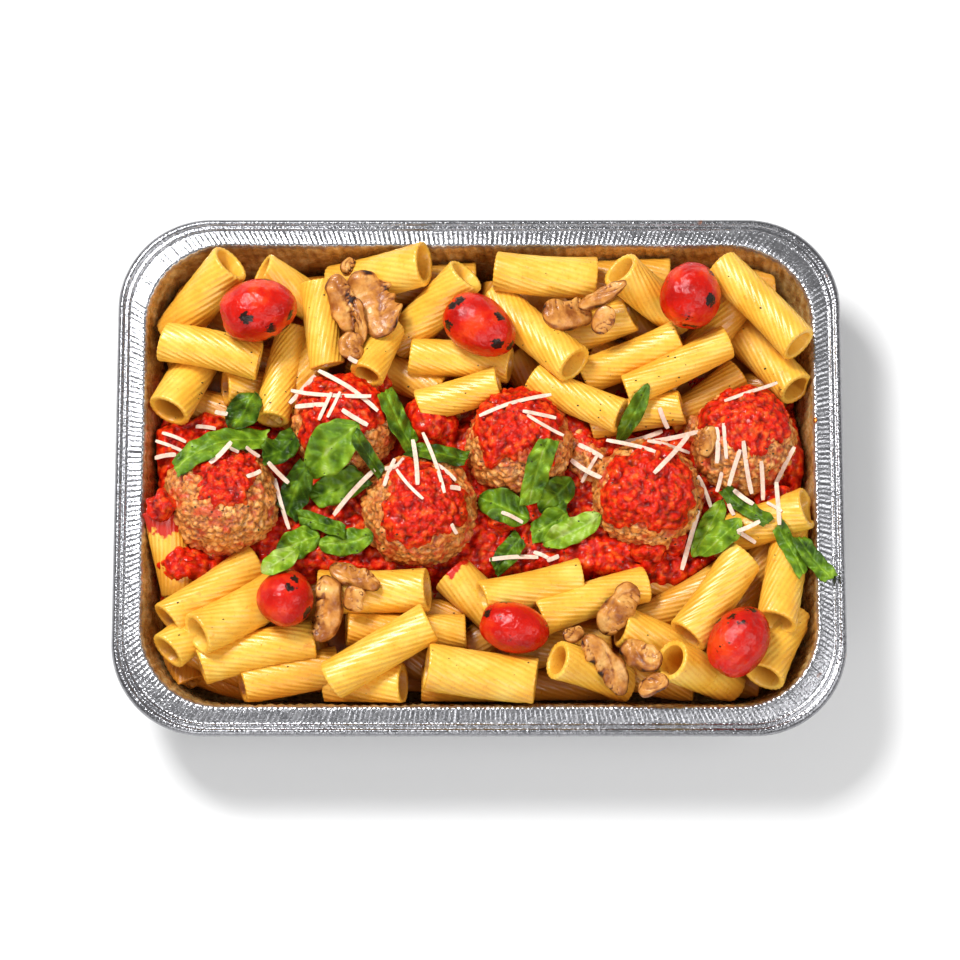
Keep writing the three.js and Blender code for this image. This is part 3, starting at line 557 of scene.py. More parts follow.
def tray_ring(offset, z):
    """The tray's outline moved out by offset, at a height. Every ring has the same number of points."""
    corner = LEDGE_CORNER + (offset * RIM_CORNER_GROWTH / RIM_WIDTH if offset > 0 else offset)
    arc = np.linspace(0, math.pi / 2, CORNER_STEPS, endpoint=False)
    ring = []
    for quarter, (sx, sy) in enumerate(((1, 1), (-1, 1), (-1, -1), (1, -1))):
        cx = sx * (LEDGE_HALF_X + offset - corner)
        cy = sy * (LEDGE_HALF_Y + offset - corner)
        angle = arc + quarter * math.pi / 2
        ring.append(np.column_stack([cx + corner * np.cos(angle), cy + corner * np.sin(angle)]))
        half = LEDGE_HALF_X if quarter % 2 == 0 else LEDGE_HALF_Y
        steps = int(2 * (half - LEDGE_CORNER) / STRAIGHT_STEP)
        end = (quarter + 1) * math.pi / 2
        start = np.array([cx + corner * math.cos(end), cy + corner * math.sin(end)])
        turned = np.array([-start[0], start[1]]) if quarter % 2 == 0 else np.array([start[0], -start[1]])
        share = np.linspace(0, 1, steps, endpoint=False)[:, None]
        ring.append(start + (turned - start) * share)
    flat = np.concatenate(ring)
    return np.column_stack([flat, np.full(len(flat), z)])


def wall_inset(z):
    return (TRAY_HEIGHT - z) * WALL_LEAN


def crimp_wave(along, pitch, seed):
    """An irregular wave along the rim, between -1 and 1."""
    wave = np.empty(len(along))
    for i, s in enumerate(along):
        drift = 2.2 * noise.noise(Vector((s / 9.0, seed, 0))) + 1.3 * noise.noise(Vector((s / 3.1, seed, 5)))
        size = 0.7 + 0.6 * noise.noise(Vector((s / 5.0, seed, 9)))
        wave[i] = size * math.sin(2 * math.pi * s / pitch + drift)
    return wave


def make_tray():
    # Inside from the floor up, over the rim, and down the outside: offset, height, and how much of the
    # ledge's crimps, the wall's pleats and the bead's fine crimps each line takes.
    floor = wall_inset(0)
    foil = 0.35
    inside = [(-floor - 20, foil, 0, 0.1, 0), (-floor - 3, 0.6, 0, 0.3, 0), (-floor - 0.6, 2.6, 0, 0.7, 0)]
    inside += [(-wall_inset(z), z, 0, 0.9, 0) for z in WALL_ROWS]
    # The last number, the bead's fine crimps, also sets how much painted shade darkens the bead.
    rim = [(-0.1, 49.5, 0.3, 0.6, 0), (0.5, 50.1, 0.9, 0.2, 0), (1.3, 50.1, 1, 0, 0), (3, 49.75, 1, 0, 0),
           (5, 49.35, 1, 0, 0), (6.6, 48.95, 0.8, 0, 0), (7.3, 48.75, 0.2, 0, 0.3), (7.9, 49.3, 0, 0, 1),
           (8.4, 49.55, 0, 0, 1), (9.0, 49.2, 0, 0, 0.6), (9.5, 49.0, 0, 0, 0.3), (10.1, 49.6, 0, 0, 1),
           (10.9, 50.0, 0, 0, 1), (11.8, 49.7, 0, 0, 1), (12.5, 48.9, 0, 0, 0.8), (12.9, 47.8, 0, 0, 0.5),
           (12.8, 46.5, 0, 0, 0.3), (12.1, 45.7, 0, 0, 0.2), (11.0, 45.6, 0, 0, 0), (10.2, 46.4, 0, 0, 0),
           (9.4, 47.8, 0, 0, 0), (7.3, 48.35, 0.2, 0, 0), (5, 48.95, 1, 0, 0), (3, 49.35, 1, 0, 0),
           (1.3, 49.65, 1, 0, 0), (0.7, 49.3, 0.6, 0.4, 0)]
    outside = [(foil - wall_inset(z), z, 0, 0.9, 0) for z in WALL_ROWS[::-1]]
    outside += [(-floor, 2.4, 0, 0.7, 0), (-floor - 1.2, 0.6, 0, 0.4, 0), (-floor - 3.8, 0, 0, 0, 0),
                (-floor - 20, 0, 0, 0, 0)]
    profile = inside + rim + outside
    base = tray_ring(0, 0)
    step = np.linalg.norm(np.roll(base, -1, axis=0) - base, axis=1)
    along = np.concatenate([[0], np.cumsum(step)[:-1]])
    ledge = crimp_wave(along, 2.2, 3)
    pleat = crimp_wave(along, 4.6, 17)
    fine = crimp_wave(along, 1.7, 31)
    normal = tray_ring(1, 0)[:, :2] - tray_ring(0, 0)[:, :2]
    normal /= np.linalg.norm(normal, axis=1)[:, None]
    shape = Shape()
    rings = []
    stains = []
    beads = []
    for line, (offset, z, on_ledge, on_wall, on_bead) in enumerate(profile):
        ring = tray_ring(offset, z)
        lean = np.array([0.8 * noise.noise(Vector((s / 14.0, z / 11.0, 2))) for s in along])
        push = 0.8 * on_wall * (0.7 * np.roll(pleat, int(z / 3)) + lean) - 0.35 * on_wall
        ring[:, :2] += normal * push[:, None]
        ring[:, 2] += 0.3 * on_ledge * ledge + 0.14 * on_bead * fine
        ring[:, 2] = np.clip(ring[:, 2], 0, TRAY_HEIGHT + 0.55)
        rings.append(ring)
        stained = 0.95 if line < len(inside) else (0.4 if line == len(inside) else 0.0)
        stains.append(np.full(len(ring), stained))
        # The bead's share of painted shade, stored as coat for the foil material.
        beads.append(np.full(len(ring), on_bead))
    count = len(base)
    points = np.concatenate(rings + [np.array([[0, 0, 0.35], [0, 0, 0]])])
    shades = np.concatenate(stains + [np.array([1.0, 0.0])])
    bead_shade_share = np.concatenate(beads + [np.zeros(2)])
    faces = [face[::-1] for face in grid_faces(len(profile), count, closed=True)]
    top, under = len(points) - 2, len(points) - 1
    last = (len(profile) - 1) * count
    for i in range(count):
        j = (i + 1) % count
        faces.append((top, i, j))
        faces.append((under, last + j, last + i))
    shape.add(points, faces, shades, bead_shade_share)
    make_piece("foil_tray", shape, foil_material(), ["tray"])


# ---- rigatoni ----

class Tube:
    def __init__(self, row):
        self.a = Vector(row[0:3])
        self.b = Vector(row[3:6])
        self.radius = row[6] / 2
        self.laid = (self.a.copy(), self.b.copy())


def closest_shares(one, two):
    """Shares along two tubes' axes of the points where they come closest."""
    u = one.b - one.a
    v = two.b - two.a
    w = one.a - two.a
    uu, vv, uv = u.dot(u), v.dot(v), u.dot(v)
    across = uu * vv - uv * uv
    s = min(1, max(0, (uv * v.dot(w) - vv * u.dot(w)) / across)) if across > 1e-6 else 0.5
    t = min(1, max(0, (v.dot(w) + s * uv) / vv))
    s = min(1, max(0, (t * uv - u.dot(w)) / uu))
    return s, t


def nudge(tube, s, move):
    tube.a += move * (1 - s)
    tube.b += move * s


def overlap(one, two):
    """The shares where two tubes come closest, and the move that parts them if they press too hard."""
    s, t = closest_shares(one, two)
    apart = one.a.lerp(one.b, s) - two.a.lerp(two.b, t)
    short = one.radius + two.radius - TUBE_SQUASH - apart.length
    return s, t, apart.normalized() * max(0.0, short)


def settle(tubes, fixed):
    """Presses the tubes apart until they only dent each other and the meatballs."""
    for _ in range(SETTLE_PASSES):
        for i, one in enumerate(tubes):
            for two in tubes[i + 1:]:
                s, t, move = overlap(one, two)
                nudge(one, s, move / 2)
                nudge(two, t, -move / 2)
            for two in fixed:
                s, _, move = overlap(one, two)
                nudge(one, s, move)
            for x, y, z, radius in MEATBALLS:
                centre = Vector((x, y, z))
                line = one.b - one.a
                s = min(1, max(0, (centre - one.a).dot(line) / line.dot(line)))
                apart = one.a.lerp(one.b, s) - centre
                short = one.radius + radius - BALL_SQUASH - apart.length
                if short > 0:
                    nudge(one, s, apart.normalized() * short)
            one.a = one.a.lerp(one.laid[0], SPRING_BACK)
            one.b = one.b.lerp(one.laid[1], SPRING_BACK)


RIDGES = 22
AROUND = RIDGES * 4
ALONG = 9
PASTA_WALL = 2.5
TWIST = 0.42  # tangent of the ridges' turn against the axis


def add_tube(shape, tube, rng):
    """One hollow rigatone with turned ridges, a slight bend and ragged ends."""
    line = tube.b - tube.a
    length = line.length
    axis = line / length
    up = Vector((0, 0, 1)) if abs(axis.z) < 0.9 else Vector((1, 0, 0))
    side = axis.cross(up).normalized()
    up = side.cross(axis).normalized()
    axis, side, up = np.array(axis), np.array(side), np.array(up)
    columns = np.linspace(0, 2 * math.pi, AROUND, endpoint=False)
    crest = 0.5 + 0.5 * np.cos(RIDGES * columns)
    start = rng.uniform(0, 2 * math.pi)
    turn = TWIST * rng.uniform(0.6, 1.15) * length / tube.radius
    relief = rng.uniform(0.32, 0.46)
    bend = rng.uniform(-1.3, 1.3)
    lift = rng.uniform(-0.8, 0.4)
    oval = rng.uniform(0.0, 0.05)
    cuts = [(rng.uniform(0.04, 0.16), rng.uniform(0, 2 * math.pi)) for _ in range(2)]
    flare = [rng.uniform(-0.02, 0.05) for _ in range(2)]

    def ring(share, radius, height):
        around = columns + start + turn * share
        wide = 1 + flare[0] * (1 - share) ** 3 + flare[1] * share ** 3
        worn = 0.75 + 0.25 * np.sin(3 * columns + 5 * share + start)
        r = (radius + height * worn * (crest - 0.5)) * wide
        cut, facing = cuts[0] if share < 0.5 else cuts[1]
        fade = abs(2 * share - 1) ** 4
        outward = 1 if share > 0.5 else -1
        slant = fade * cut * radius * np.cos(around - facing) - fade * 0.15 * (1 - crest) * outward
        arch = 1 - (2 * share - 1) ** 2
        centre_side = bend * arch
        centre_up = lift * arch
        forward = (share - 0.5) * length + slant
        x = r * np.cos(around) * (1 - oval) + centre_up
        y = r * np.sin(around) * (1 + oval) + centre_side
        middle = (np.array(tube.a) + np.array(tube.b)) / 2
        return middle + forward[:, None] * axis + x[:, None] * up + y[:, None] * side

    radius = tube.radius
    bore = radius - PASTA_WALL
    rings = [ring(0, radius - 0.55, 0.15), ring(0.008, radius - 0.12, 0.35)]
    rings += [ring(share, radius, relief) for share in np.linspace(0.025, 0.975, ALONG)]
    rings += [ring(0.992, radius - 0.12, 0.35), ring(1, radius - 0.55, 0.15)]
    rings += [ring(1, bore + 0.45, 0), ring(0.985, bore, 0)]
    rings += [ring(share, bore, 0) for share in (0.75, 0.25)]
    rings += [ring(0.015, bore, 0), ring(0, bore + 0.45, 0)]
    # Shade for the pasta's painted shade: 1 on the ridges, 0 in the grooves, falling to 0 deep inside the
    # bore.
    inner = [np.full(AROUND, tone) for tone in (0.9, 0.5, 0, 0, 0.5, 0.9)]
    shades = np.concatenate([crest] * (ALONG + 4) + inner)
    faces = grid_faces(len(rings), AROUND, closed=True)
    last = (len(rings) - 1) * AROUND
    faces += [(last + i, last + (i + 1) % AROUND, (i + 1) % AROUND, i) for i in range(AROUND)]
    points = np.concatenate(rings)
    room = np.full(len(points), PLEAT_ROOM)
    room[(ALONG + 4) * AROUND:] += 0.5 * PASTA_WALL
    points = pressed_in(points, room)
    shape.add(points, faces, shades, sauce_on(points))


def pressed_in(points, room):
    """Points of soft food, with those that would reach through the tray's wall pressed back inside it."""
    points = points.copy()
    inset = np.maximum(0, wall_inset(points[:, 2])) + room
    corner = LEDGE_CORNER - inset
    straight = np.column_stack([LEDGE_HALF_X - inset - corner, LEDGE_HALF_Y - inset - corner])
    over = np.abs(points[:, :2]) - straight
    out = np.hypot(*np.maximum(over, 0).T)
    excess = np.where(points[:, 2] < TRAY_HEIGHT, np.maximum(0, out - corner), 0)
    back = np.maximum(over, 0) * (excess / np.maximum(out, 1e-6))[:, None]
    points[:, :2] -= np.sign(points[:, :2]) * back
    return points


def sauce_on(points):
    """How much sauce is on points of the pasta: only a few ends have some."""
    coats = np.zeros(len(points))
    for x, y, reach in SAUCED_ENDS:
        distance = np.hypot(points[:, 0] - x, points[:, 1] - y)
        coats = np.maximum(coats, 1 - smooth(0.5 * reach, reach, distance))
    return coats


def make_rigatoni():
    """All tubes: those that show are settled as in the CAD, then those below are settled under them."""
    top = [Tube(row) for row in RIGATONI]
    settle(top, [])
    below = [Tube(row) for row in RIGATONI_BELOW]
    settle(below, top)
    rng = random.Random(11)
    back, front = Shape(), Shape()
    for tube in top + below:
        keep_inside(tube)
        add_tube(back if tube.a.y + tube.b.y > 0 else front, tube, rng)
    material = pasta_material()
    make_piece("rigatoni_back", back, material, ["rigatoni_heap"])
    make_piece("rigatoni_front", front, material)
    return [back, front]


def keep_inside(tube):
    """Shifts a tube off the tray's wall."""
    for end in (tube.a, tube.b):
        room = tube.radius + 0.8
        limit_x = LEDGE_HALF_X - max(0, wall_inset(end.z)) - room * 0.8
        limit_y = LEDGE_HALF_Y - max(0, wall_inset(end.z)) - room
        if end.z < TRAY_HEIGHT + 4:
            end.x = max(-limit_x, min(limit_x, end.x))
            end.y = max(-limit_y, min(limit_y, end.y))


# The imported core: mean height, bottom, the height at which the wall's width is taken, gap to it, rounding.
CORE_TOP = 24
CORE_BOTTOM = 1.5
CORE_WIDE_AT = 20
CORE_GAP = 5
CORE_CORNER = 30


def make_core():
    """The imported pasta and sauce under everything, a lumpy block inside the tray."""
    shape = Shape()
    rows, columns = 54, 76
    half_x = LEDGE_HALF_X - wall_inset(CORE_WIDE_AT) - CORE_GAP
    half_y = LEDGE_HALF_Y - wall_inset(CORE_WIDE_AT) - CORE_GAP
    points = []
    for r in range(rows):
        for c in range(columns):
            x = half_x * (2 * c / (columns - 1) - 1)
            y = half_y * (2 * r / (rows - 1) - 1)
            past_x = max(0, abs(x) - half_x + CORE_CORNER)
            past_y = max(0, abs(y) - half_y + CORE_CORNER)
            corner = max(0.0, math.hypot(past_x, past_y) - CORE_CORNER)
            x -= math.copysign(corner, x) * 0.75
            y -= math.copysign(corner, y) * 0.75
            z = CORE_TOP + 3.5 * wobble(x, y, 0, 11) + 2 * lumps(x, y, 0, 7)
            points.append((x, y, z))
    shrink = (half_x - wall_inset(0) + wall_inset(CORE_WIDE_AT)) / half_x
    shape.add(*filled_down(np.array(points), rows, columns, CORE_BOTTOM, shrink))
    # Lying low, it takes the pasta material's painted shade and sauce tint for low places.
    make_piece("packed_core", shape, pasta_material())


# ---- meatballs and sauce ----

BALL_RINGS = 78
BALL_SPOKES = 172


def rough_radius(p, x, y):
    """The same slow rise and fall of a meatball's surface as in the CAD."""
    return 0.6 * math.sin(5 * p.x + x) * math.cos(4 * p.y + y) + 0.4 * math.sin(7 * p.z + 3 * p.x + x)


def rough_ball(x, y, z, radius, rings, spokes, sauced=False):
    """A ball of coarse mince, or a sauced lump. Its rings lie close together down to where it is hidden."""
    centre = Vector((x, y, z))
    points, shades = [], []
    for r in range(rings + 1):
        tilt = math.radians(1 + 117 * r / rings) if r < rings else math.radians(160)
        for k in range(spokes):
            angle = 2 * math.pi * (k + 0.5 * (r % 2)) / spokes
            p = Vector((math.sin(tilt) * math.cos(angle), math.sin(tilt) * math.sin(angle), math.cos(tilt)))
            q = p * radius + centre
            shift = 2.2 * wobble(q.x, q.y, q.z, 3)
            grain = lumps if sauced else crumbs
            coarse = grain(q.x + shift, q.y, q.z - shift, 3.9)
            fine = grain(q.x + 50, q.y + shift, q.z, 2.0)
            relief = 1.2 * coarse + 0.4 * fine + 1.7 * wobble(q.x, q.y, q.z, 5) - 1.1
            points.append(p * (radius + rough_radius(p, x, y) + relief) + centre)
            # Shade: low in the cracks and between lumps, where the material paints shade.
            shades.append(0.6 * coarse + 0.4 * fine)
    count = len(points)
    points += [centre + Vector((0, 0, radius)), centre - Vector((0, 0, radius))]
    shades += [0.8, 0.8]
    shape = Shape()
    shape.add([tuple(p) for p in points], turned_round(capped_faces(rings + 1, spokes, count)), shades)
    return shape


def make_meatballs(meat, sauce):
    shapes = []
    for number, (x, y, z, radius) in enumerate(MEATBALLS, start=1):
        shape = rough_ball(x, y, z, radius, BALL_RINGS, BALL_SPOKES)
        make_piece(f"meatball_{number}", shape, meat, [f"meatball_{number:02d}"])
        shapes.append(shape)
    for number, (x, y, z, radius, sauced) in enumerate(LOOSE_LUMPS, start=1):
        shape = rough_ball(x, y, z, radius, 24, 48, sauced)
        make_piece(f"lump_{number}", shape, sauce if sauced else meat)
        shapes.append(shape)
    return shapes


def make_dollops(material):
    """Spooned sauce on each meatball: a lumpy cap with a ragged, dripping edge."""
    rings, spokes = 44, 170
    shapes = []
    for number, (ball, (toward, reach, thick)) in enumerate(zip(MEATBALLS, DOLLOPS), start=1):
        x, y, z, radius = ball
        pole = Vector(toward).normalized()
        turn = Vector((0, 0, 1)).rotation_difference(pole)
        points, shades = [], []
        for r in range(rings + 1):
            share = r / rings
            for k in range(spokes):
                angle = 2 * math.pi * k / spokes
                ragged = 0.3 * noise.noise(Vector((2.2 * math.cos(angle), 2.2 * math.sin(angle), number)))
                ragged += 0.22 * noise.noise(Vector((5 * math.cos(angle), 5 * math.sin(angle), number)))
                ragged += 0.07 * noise.noise(Vector((12 * math.cos(angle), 12 * math.sin(angle), number)))
                wave = 1 + 0.1 * math.sin(3 * angle + number - 1)
                wave += 0.07 * math.sin(5 * angle + 2 * number - 2)
                tilt = math.radians(reach) * (0.02 + 0.98 * share) * (wave + share * ragged)
                out = math.sin(tilt)
                p = Vector((out * math.cos(angle), out * math.sin(angle), math.cos(tilt)))
                p.rotate(turn)
                q = p * radius + Vector((x, y, z))
                coarse = lumps(q.x, q.y, q.z + 20, 2.9)
                fine = lumps(q.x, q.y + 30, q.z, 1.7)
                dome = math.sqrt(max(0.0, 1 - share ** 6))
                slow = 1.0 * wobble(q.x, q.y, q.z + 9, 7)
                over = dome * (thick * 0.55 + 1.5 * coarse + 0.8 * fine - 0.8 + slow) - 1.6 * (1 - dome)
                points.append(p * (radius + rough_radius(p, x, y) + over) + Vector((x, y, z)))
                # Shade: low between lumps, where the sauce material paints shade.
                shades.append(0.62 * coarse + 0.38 * fine)
        count = len(points)
        points.append(pole * (radius + thick) + Vector((x, y, z)))
        points.append(pole * (radius * 0.6) + Vector((x, y, z)))
        shades += [0.8, 0.5]
        shape = Shape()
        shape.add([tuple(p) for p in points], turned_round(capped_faces(rings + 1, spokes, count)), shades)
        make_piece(f"sauce_dollop_{number}", shape, material, [f"sauce_dollop_{number:02d}"])
        shapes.append(shape)
    return shapes


def edge_distance(x, y, outline):
    """Distance to the sauce's outline in plan, positive inside it."""
    inside = False
    nearest = 1e9
    for (x1, y1), (x2, y2) in zip(outline, outline[1:] + outline[:1]):
        dx, dy = x2 - x1, y2 - y1
        share = max(0.0, min(1.0, ((x - x1) * dx + (y - y1) * dy) / (dx * dx + dy * dy)))
        nearest = min(nearest, math.hypot(x - x1 - share * dx, y - y1 - share * dy))
        if (y1 > y) != (y2 > y) and x < dx * (y - y1) / dy + x1:
            inside = not inside
    return nearest if inside else -nearest


def sauce_height(x, y):
    heaped = 0.0
    for mx, my, radius, height in SAUCE_MOUNDS:
        share = min(1.0, math.hypot(x - mx, y - my) / radius)
        heaped = max(heaped, height * 0.5 * (1 + math.cos(math.pi * share)))
    return SAUCE_LEVEL + heaped + 0.7 * math.sin(x / 5.3) * math.cos(y / 4.1) + 0.5 * math.sin((x + y) / 7.7)


def wall_reach(z):
    """Half the room for sauce between the tray's two short walls, at a height."""
    return LEDGE_HALF_X - wall_inset(z) - PLEAT_ROOM


def make_sauce(material):
    """The chunky sauce between the meatballs: a relief whose edge sinks between the pasta."""
    step = 0.8
    xs = np.arange(-SAUCE_HALF_LENGTH, SAUCE_HALF_LENGTH + 0.1, step)
    ys = np.arange(-54.0, 52.1, step)
    points, shades = [], []
    for y in ys:
        for x in xs:
            coarse = lumps(x, y, 0, 3.3)
            fine = lumps(x, y, 40, 1.9)
            inside = edge_distance(x, y, SAUCE_EDGE)
            sink = 15 * (1 - float(smooth(-7.0, 3.0, inside)))
            z = sauce_height(x, y) - sink + 2.3 * coarse + 1.0 * fine - 1.6 + 1.8 * wobble(x, y, 7, 8)
            past = max(0.0, abs(x) - SAUCE_BENDS_AT)
            share = (wall_reach(z) - SAUCE_BENDS_AT) / (SAUCE_HALF_LENGTH - SAUCE_BENDS_AT)
            points.append((x - math.copysign(past * (1 - share), x), y, z))
            # Shade: low between lumps, where the sauce material paints shade.
            shades.append(0.65 * coarse + 0.35 * fine)
    narrower = wall_reach(SAUCE_BOTTOM) / wall_reach(SAUCE_LEVEL + 3)
    points, faces = filled_down(np.array(points), len(ys), len(xs), SAUCE_BOTTOM, narrower)
    shades += [0.2] * (len(points) - len(shades))
    shape = Shape()
    shape.add(points, faces, shades)
    make_piece("sauce", shape, material, ["sauce_bed"])
    return shape


# ---- tomatoes ----

def make_tomatoes():
    material = tomato_material()
    rows, columns = 50, 72
    shapes = []
    for number, (x, y, z, heading, half_length, half_width, wrinkled) in enumerate(TOMATOES, start=1):
        facing = math.radians(heading)
        points = []
        for r in range(rows + 1):
            tilt = math.pi * (0.02 + 0.96 * r / rows)
            for c in range(columns):
                angle = 2 * math.pi * c / columns
                out = math.sin(tilt)
                u = Vector((math.cos(tilt), out * math.cos(angle), out * math.sin(angle)))
                crease = abs(wobble(u.x * 1.4, u.y * 4, u.z * 4 + number, 1.0))
                relief = 1 - 0.035 * wrinkled * (1 - min(1.0, crease * 5))
                relief += 0.035 * wobble(u.x, u.y, u.z + number, 0.7)
                dimple = 1 - 0.1 * math.exp(-(tilt / 0.25) ** 2)
                px = -half_length * u.x * relief * dimple
                py = half_width * u.y * relief * (1 + 0.06 * u.x)
                pz = half_width * u.z * relief
                points.append((
                    x + px * math.cos(facing) - py * math.sin(facing),
                    y + px * math.sin(facing) + py * math.cos(facing),
                    z + pz,
                ))
        count = len(points)
        points += [middle_of(points[:columns]), middle_of(points[-columns:])]
        shape = Shape()
        shape.add(points, capped_faces(rows + 1, columns, count))
        make_piece(f"tomato_{number}", shape, material, [f"tomato_{number:02d}"])
        shapes.append(shape)
    return shapes


# ---- pieces laid over the rest ----

LEDGE_TOP = 50.6
UNDER_THE_FOOD = 20.0


class Ground:
    """What is already in place, asked for its height at a point in plan."""

    def __init__(self):
        self.trees = []

    def add(self, shape):
        self.trees.append(shape.tree())

    def height(self, x, y):
        on_ledge = abs(x) > LEDGE_HALF_X - 1 or abs(y) > LEDGE_HALF_Y - 1
        best = LEDGE_TOP if on_ledge else UNDER_THE_FOOD
        for tree in self.trees:
            place = tree.ray_cast(Vector((x, y, 200)), Vector((0, 0, -1)))[0]
            if place is not None:
                best = max(best, place.z)
        return best


def spine(x, y, heading, length, bend, steps):
    """Points along an arc in plan: place, direction and share from -1 to 1."""
    arc = math.radians(bend) or 1e-3
    facing = math.radians(heading)
    points = []
    for i in range(steps + 1):
        u = i / steps - 0.5
        chord = length / arc * math.sin(arc * u)
        sag = length / arc * (1 - math.cos(arc * u))
        points.append((
            x + chord * math.cos(facing) - sag * math.sin(facing),
            y + chord * math.sin(facing) + sag * math.cos(facing),
            facing + arc * u,
            2 * u,
        ))
    return points


def drape(heights, step_along, step_across, passes):
    """Lifts a grid of heights to a smooth sheet that is nowhere below them and nowhere too steep."""
    ground = np.array(heights, dtype=float)
    lift = ground.copy()
    for _ in range(passes):
        padded = np.pad(lift, 1, mode="edge")
        along = np.stack([padded[:-2, 1:-1], padded[2:, 1:-1]])
        across = np.stack([padded[1:-1, :-2], padded[1:-1, 2:]])
        mean = (along.sum(axis=0) + across.sum(axis=0)) / 4
        steep = np.maximum(along.max(axis=0) - step_along, across.max(axis=0) - step_across)
        lift = np.maximum(ground, np.maximum(0.5 * (lift + mean), steep))
    return lift


def make_mushrooms(ground):
    """Seared slices: a flat cut face above, a rounded dark skin outside the bend and gills inside it."""
    material = mushroom_material()
    steps, sides = 40, 36
    for number, row in enumerate(MUSHROOMS + MUSHROOM_BITS, start=1):
        x, y, heading, length, width, thick, bend, blunt = row
        points = spine(x, y, heading, length, bend, steps)
        heights = []
        for px, py, angle, _ in points:
            ox, oy = -0.36 * width * math.sin(angle), 0.36 * width * math.cos(angle)
            beside = max(ground.height(px + ox, py + oy), ground.height(px - ox, py - oy))
            heights.append([max(ground.height(px, py), beside - 1.5)])
        lift = drape(heights, 0.35 * length / steps, 9.0, 120)[:, 0] + 0.3 * thick
        outward = -1 if bend > 0 else 1
        verts, shades = [], []
        for s, (px, py, angle, u) in enumerate(points):
            size = 0.1 + 0.9 * max(0.0, 1 - abs(u) ** (2 + 1.5 * blunt)) ** 0.55
            for i in range(sides):
                turn = 2 * math.pi * i / sides
                wide, high = math.cos(turn), math.sin(turn)
                flat = math.copysign(abs(high) ** 0.6, high)
                outer = wide * outward
                bumpy = 1 + 0.34 * wobble(px + wide * 4, py + number * 9, high * 4, 5)
                folds = abs(wobble(px * 0.5, py * 0.5 + number, wide * 2, 1.1))
                gills = max(0.0, 1 - 5 * folds) * float(smooth(-0.3, 0.8, -outer))
                crease = math.exp(-((wide + 0.45 * math.sin(2.2 * u + number)) / 0.1) ** 2) * (1 - u * u)
                pinch = 1 - 0.35 * gills - 0.4 * crease * max(0.0, high)
                across = 0.5 * width * size * wide * bumpy
                rise = 0.5 * thick * size * flat * bumpy * pinch
                verts.append((px - across * math.sin(angle), py + across * math.cos(angle), lift[s] + rise))
                skin = float(smooth(0.70, 0.95, outer)) * 0.55
                ends = 0.5 * float(smooth(0.8, 1.0, abs(u)))
                # Skin and gills are their own dark colour; the crease term is painted shade.
                shades.append(min(1.0, max(skin, 0.9 * gills, 0.55 * crease) + ends))
        count = len(verts)
        verts += [middle_of(verts[:sides]), middle_of(verts[-sides:])]
        shades += [0.6, 0.6]
        shape = Shape()
        shape.add(verts, capped_faces(steps + 1, sides, count), shades)
        nodes = [f"mushroom_{number:02d}"] if number <= len(MUSHROOMS) else []
        make_piece(f"mushroom_slice_{number}", shape, material, nodes)
        ground.add(shape)


def make_basil(ground):
    """Leaves and cut ribbons with a sunken midrib, puffed fields between the veins and ruffled edges."""
    material = basil_material()
    steps, across_steps = 40, 18
    thickness = 0.5
    for number, (x, y, heading, length, width, bend, point, tone) in enumerate(BASIL, start=1):
        plan, heights, relief, shades = [], [], [], []
        cut = point < 0.65
        skew = (0.35 if number % 2 else -0.45) if cut else 0.0
        for px, py, angle, u in spine(x, y, heading, length, bend, steps):
            leaf = max(0.0, 1 - abs(u) ** 2.2) ** (0.8 * point)
            half = 0.5 * width * (1 - 0.22 * u * u) if cut else 0.5 + 0.5 * width * leaf
            row = []
            for t in range(across_steps + 1):
                v = 2 * t / across_steps - 1
                side = 1 if v > 0 else -1
                reach = half * (1 + (0.2 if cut else 0.12) * wobble(px + 40 * side, py, number * 3, 5))
                slip = skew * v * reach * abs(u) + 0.8 * u * u * u * wobble(v * 3, number, 0, 1)
                qx = px - v * reach * math.sin(angle) + slip * math.cos(angle)
                qy = py + v * reach * math.cos(angle) + slip * math.sin(angle)
                plan.append((qx, qy))
                row.append(ground.height(qx, qy))
                vein = abs(math.sin(0.55 * (u * length / 2 + 0.9 * abs(v) * half) + number))
                rib = math.exp(-(v / 0.1) ** 2)
                open_field = min(1.0, half / 5)
                puff = 1.3 * (1 - v * v) * vein * open_field
                ruffle = 1.9 * abs(v) ** 2.5 * math.sin(0.75 * u * length / 2 + 2.2 * side + number)
                crumple = 2.2 * wobble(qx, qy, number * 5, 5.5) + 0.9 * wobble(qx, qy, number * 5, 2.5)
                edges = ruffle + 0.18 * half * abs(v)
                relief.append(puff - 1.0 * rib * open_field + edges * open_field + crumple)
                pale = max(rib, 0.7 * (1 - float(smooth(0.0, 0.25, vein)))) * open_field
                # The crumple term is painted light and shade: raised crumples paler, dips darker.
                shades.append(tone * 0.75 + 0.35 * pale + 0.2 * crumple)
            heights.append(row)
        lift = drape(heights, 0.9 * length / steps, 0.9 * width / across_steps, 90).ravel()
        relief = np.array(relief)
        top = np.column_stack([np.array(plan), lift + np.maximum(relief, -0.6) + thickness + 1.0])
        under = top - np.array([0, 0, thickness])
        rows, columns, count = steps + 1, across_steps + 1, len(top)
        faces = grid_faces(rows, columns)
        faces += [tuple(i + count for i in face[::-1]) for face in faces]
        edge = grid_edge(rows, columns)
        faces += [(a, a + count, b + count, b) for a, b in zip(edge, edge[1:] + edge[:1])]
        shape = Shape()
        shape.add(np.concatenate([top, under]), [face[::-1] for face in faces], np.clip(shades * 2, 0, 1))
        make_piece(f"basil_leaf_{number}", shape, material, [f"basil_{number:02d}"])
        ground.add(shape)


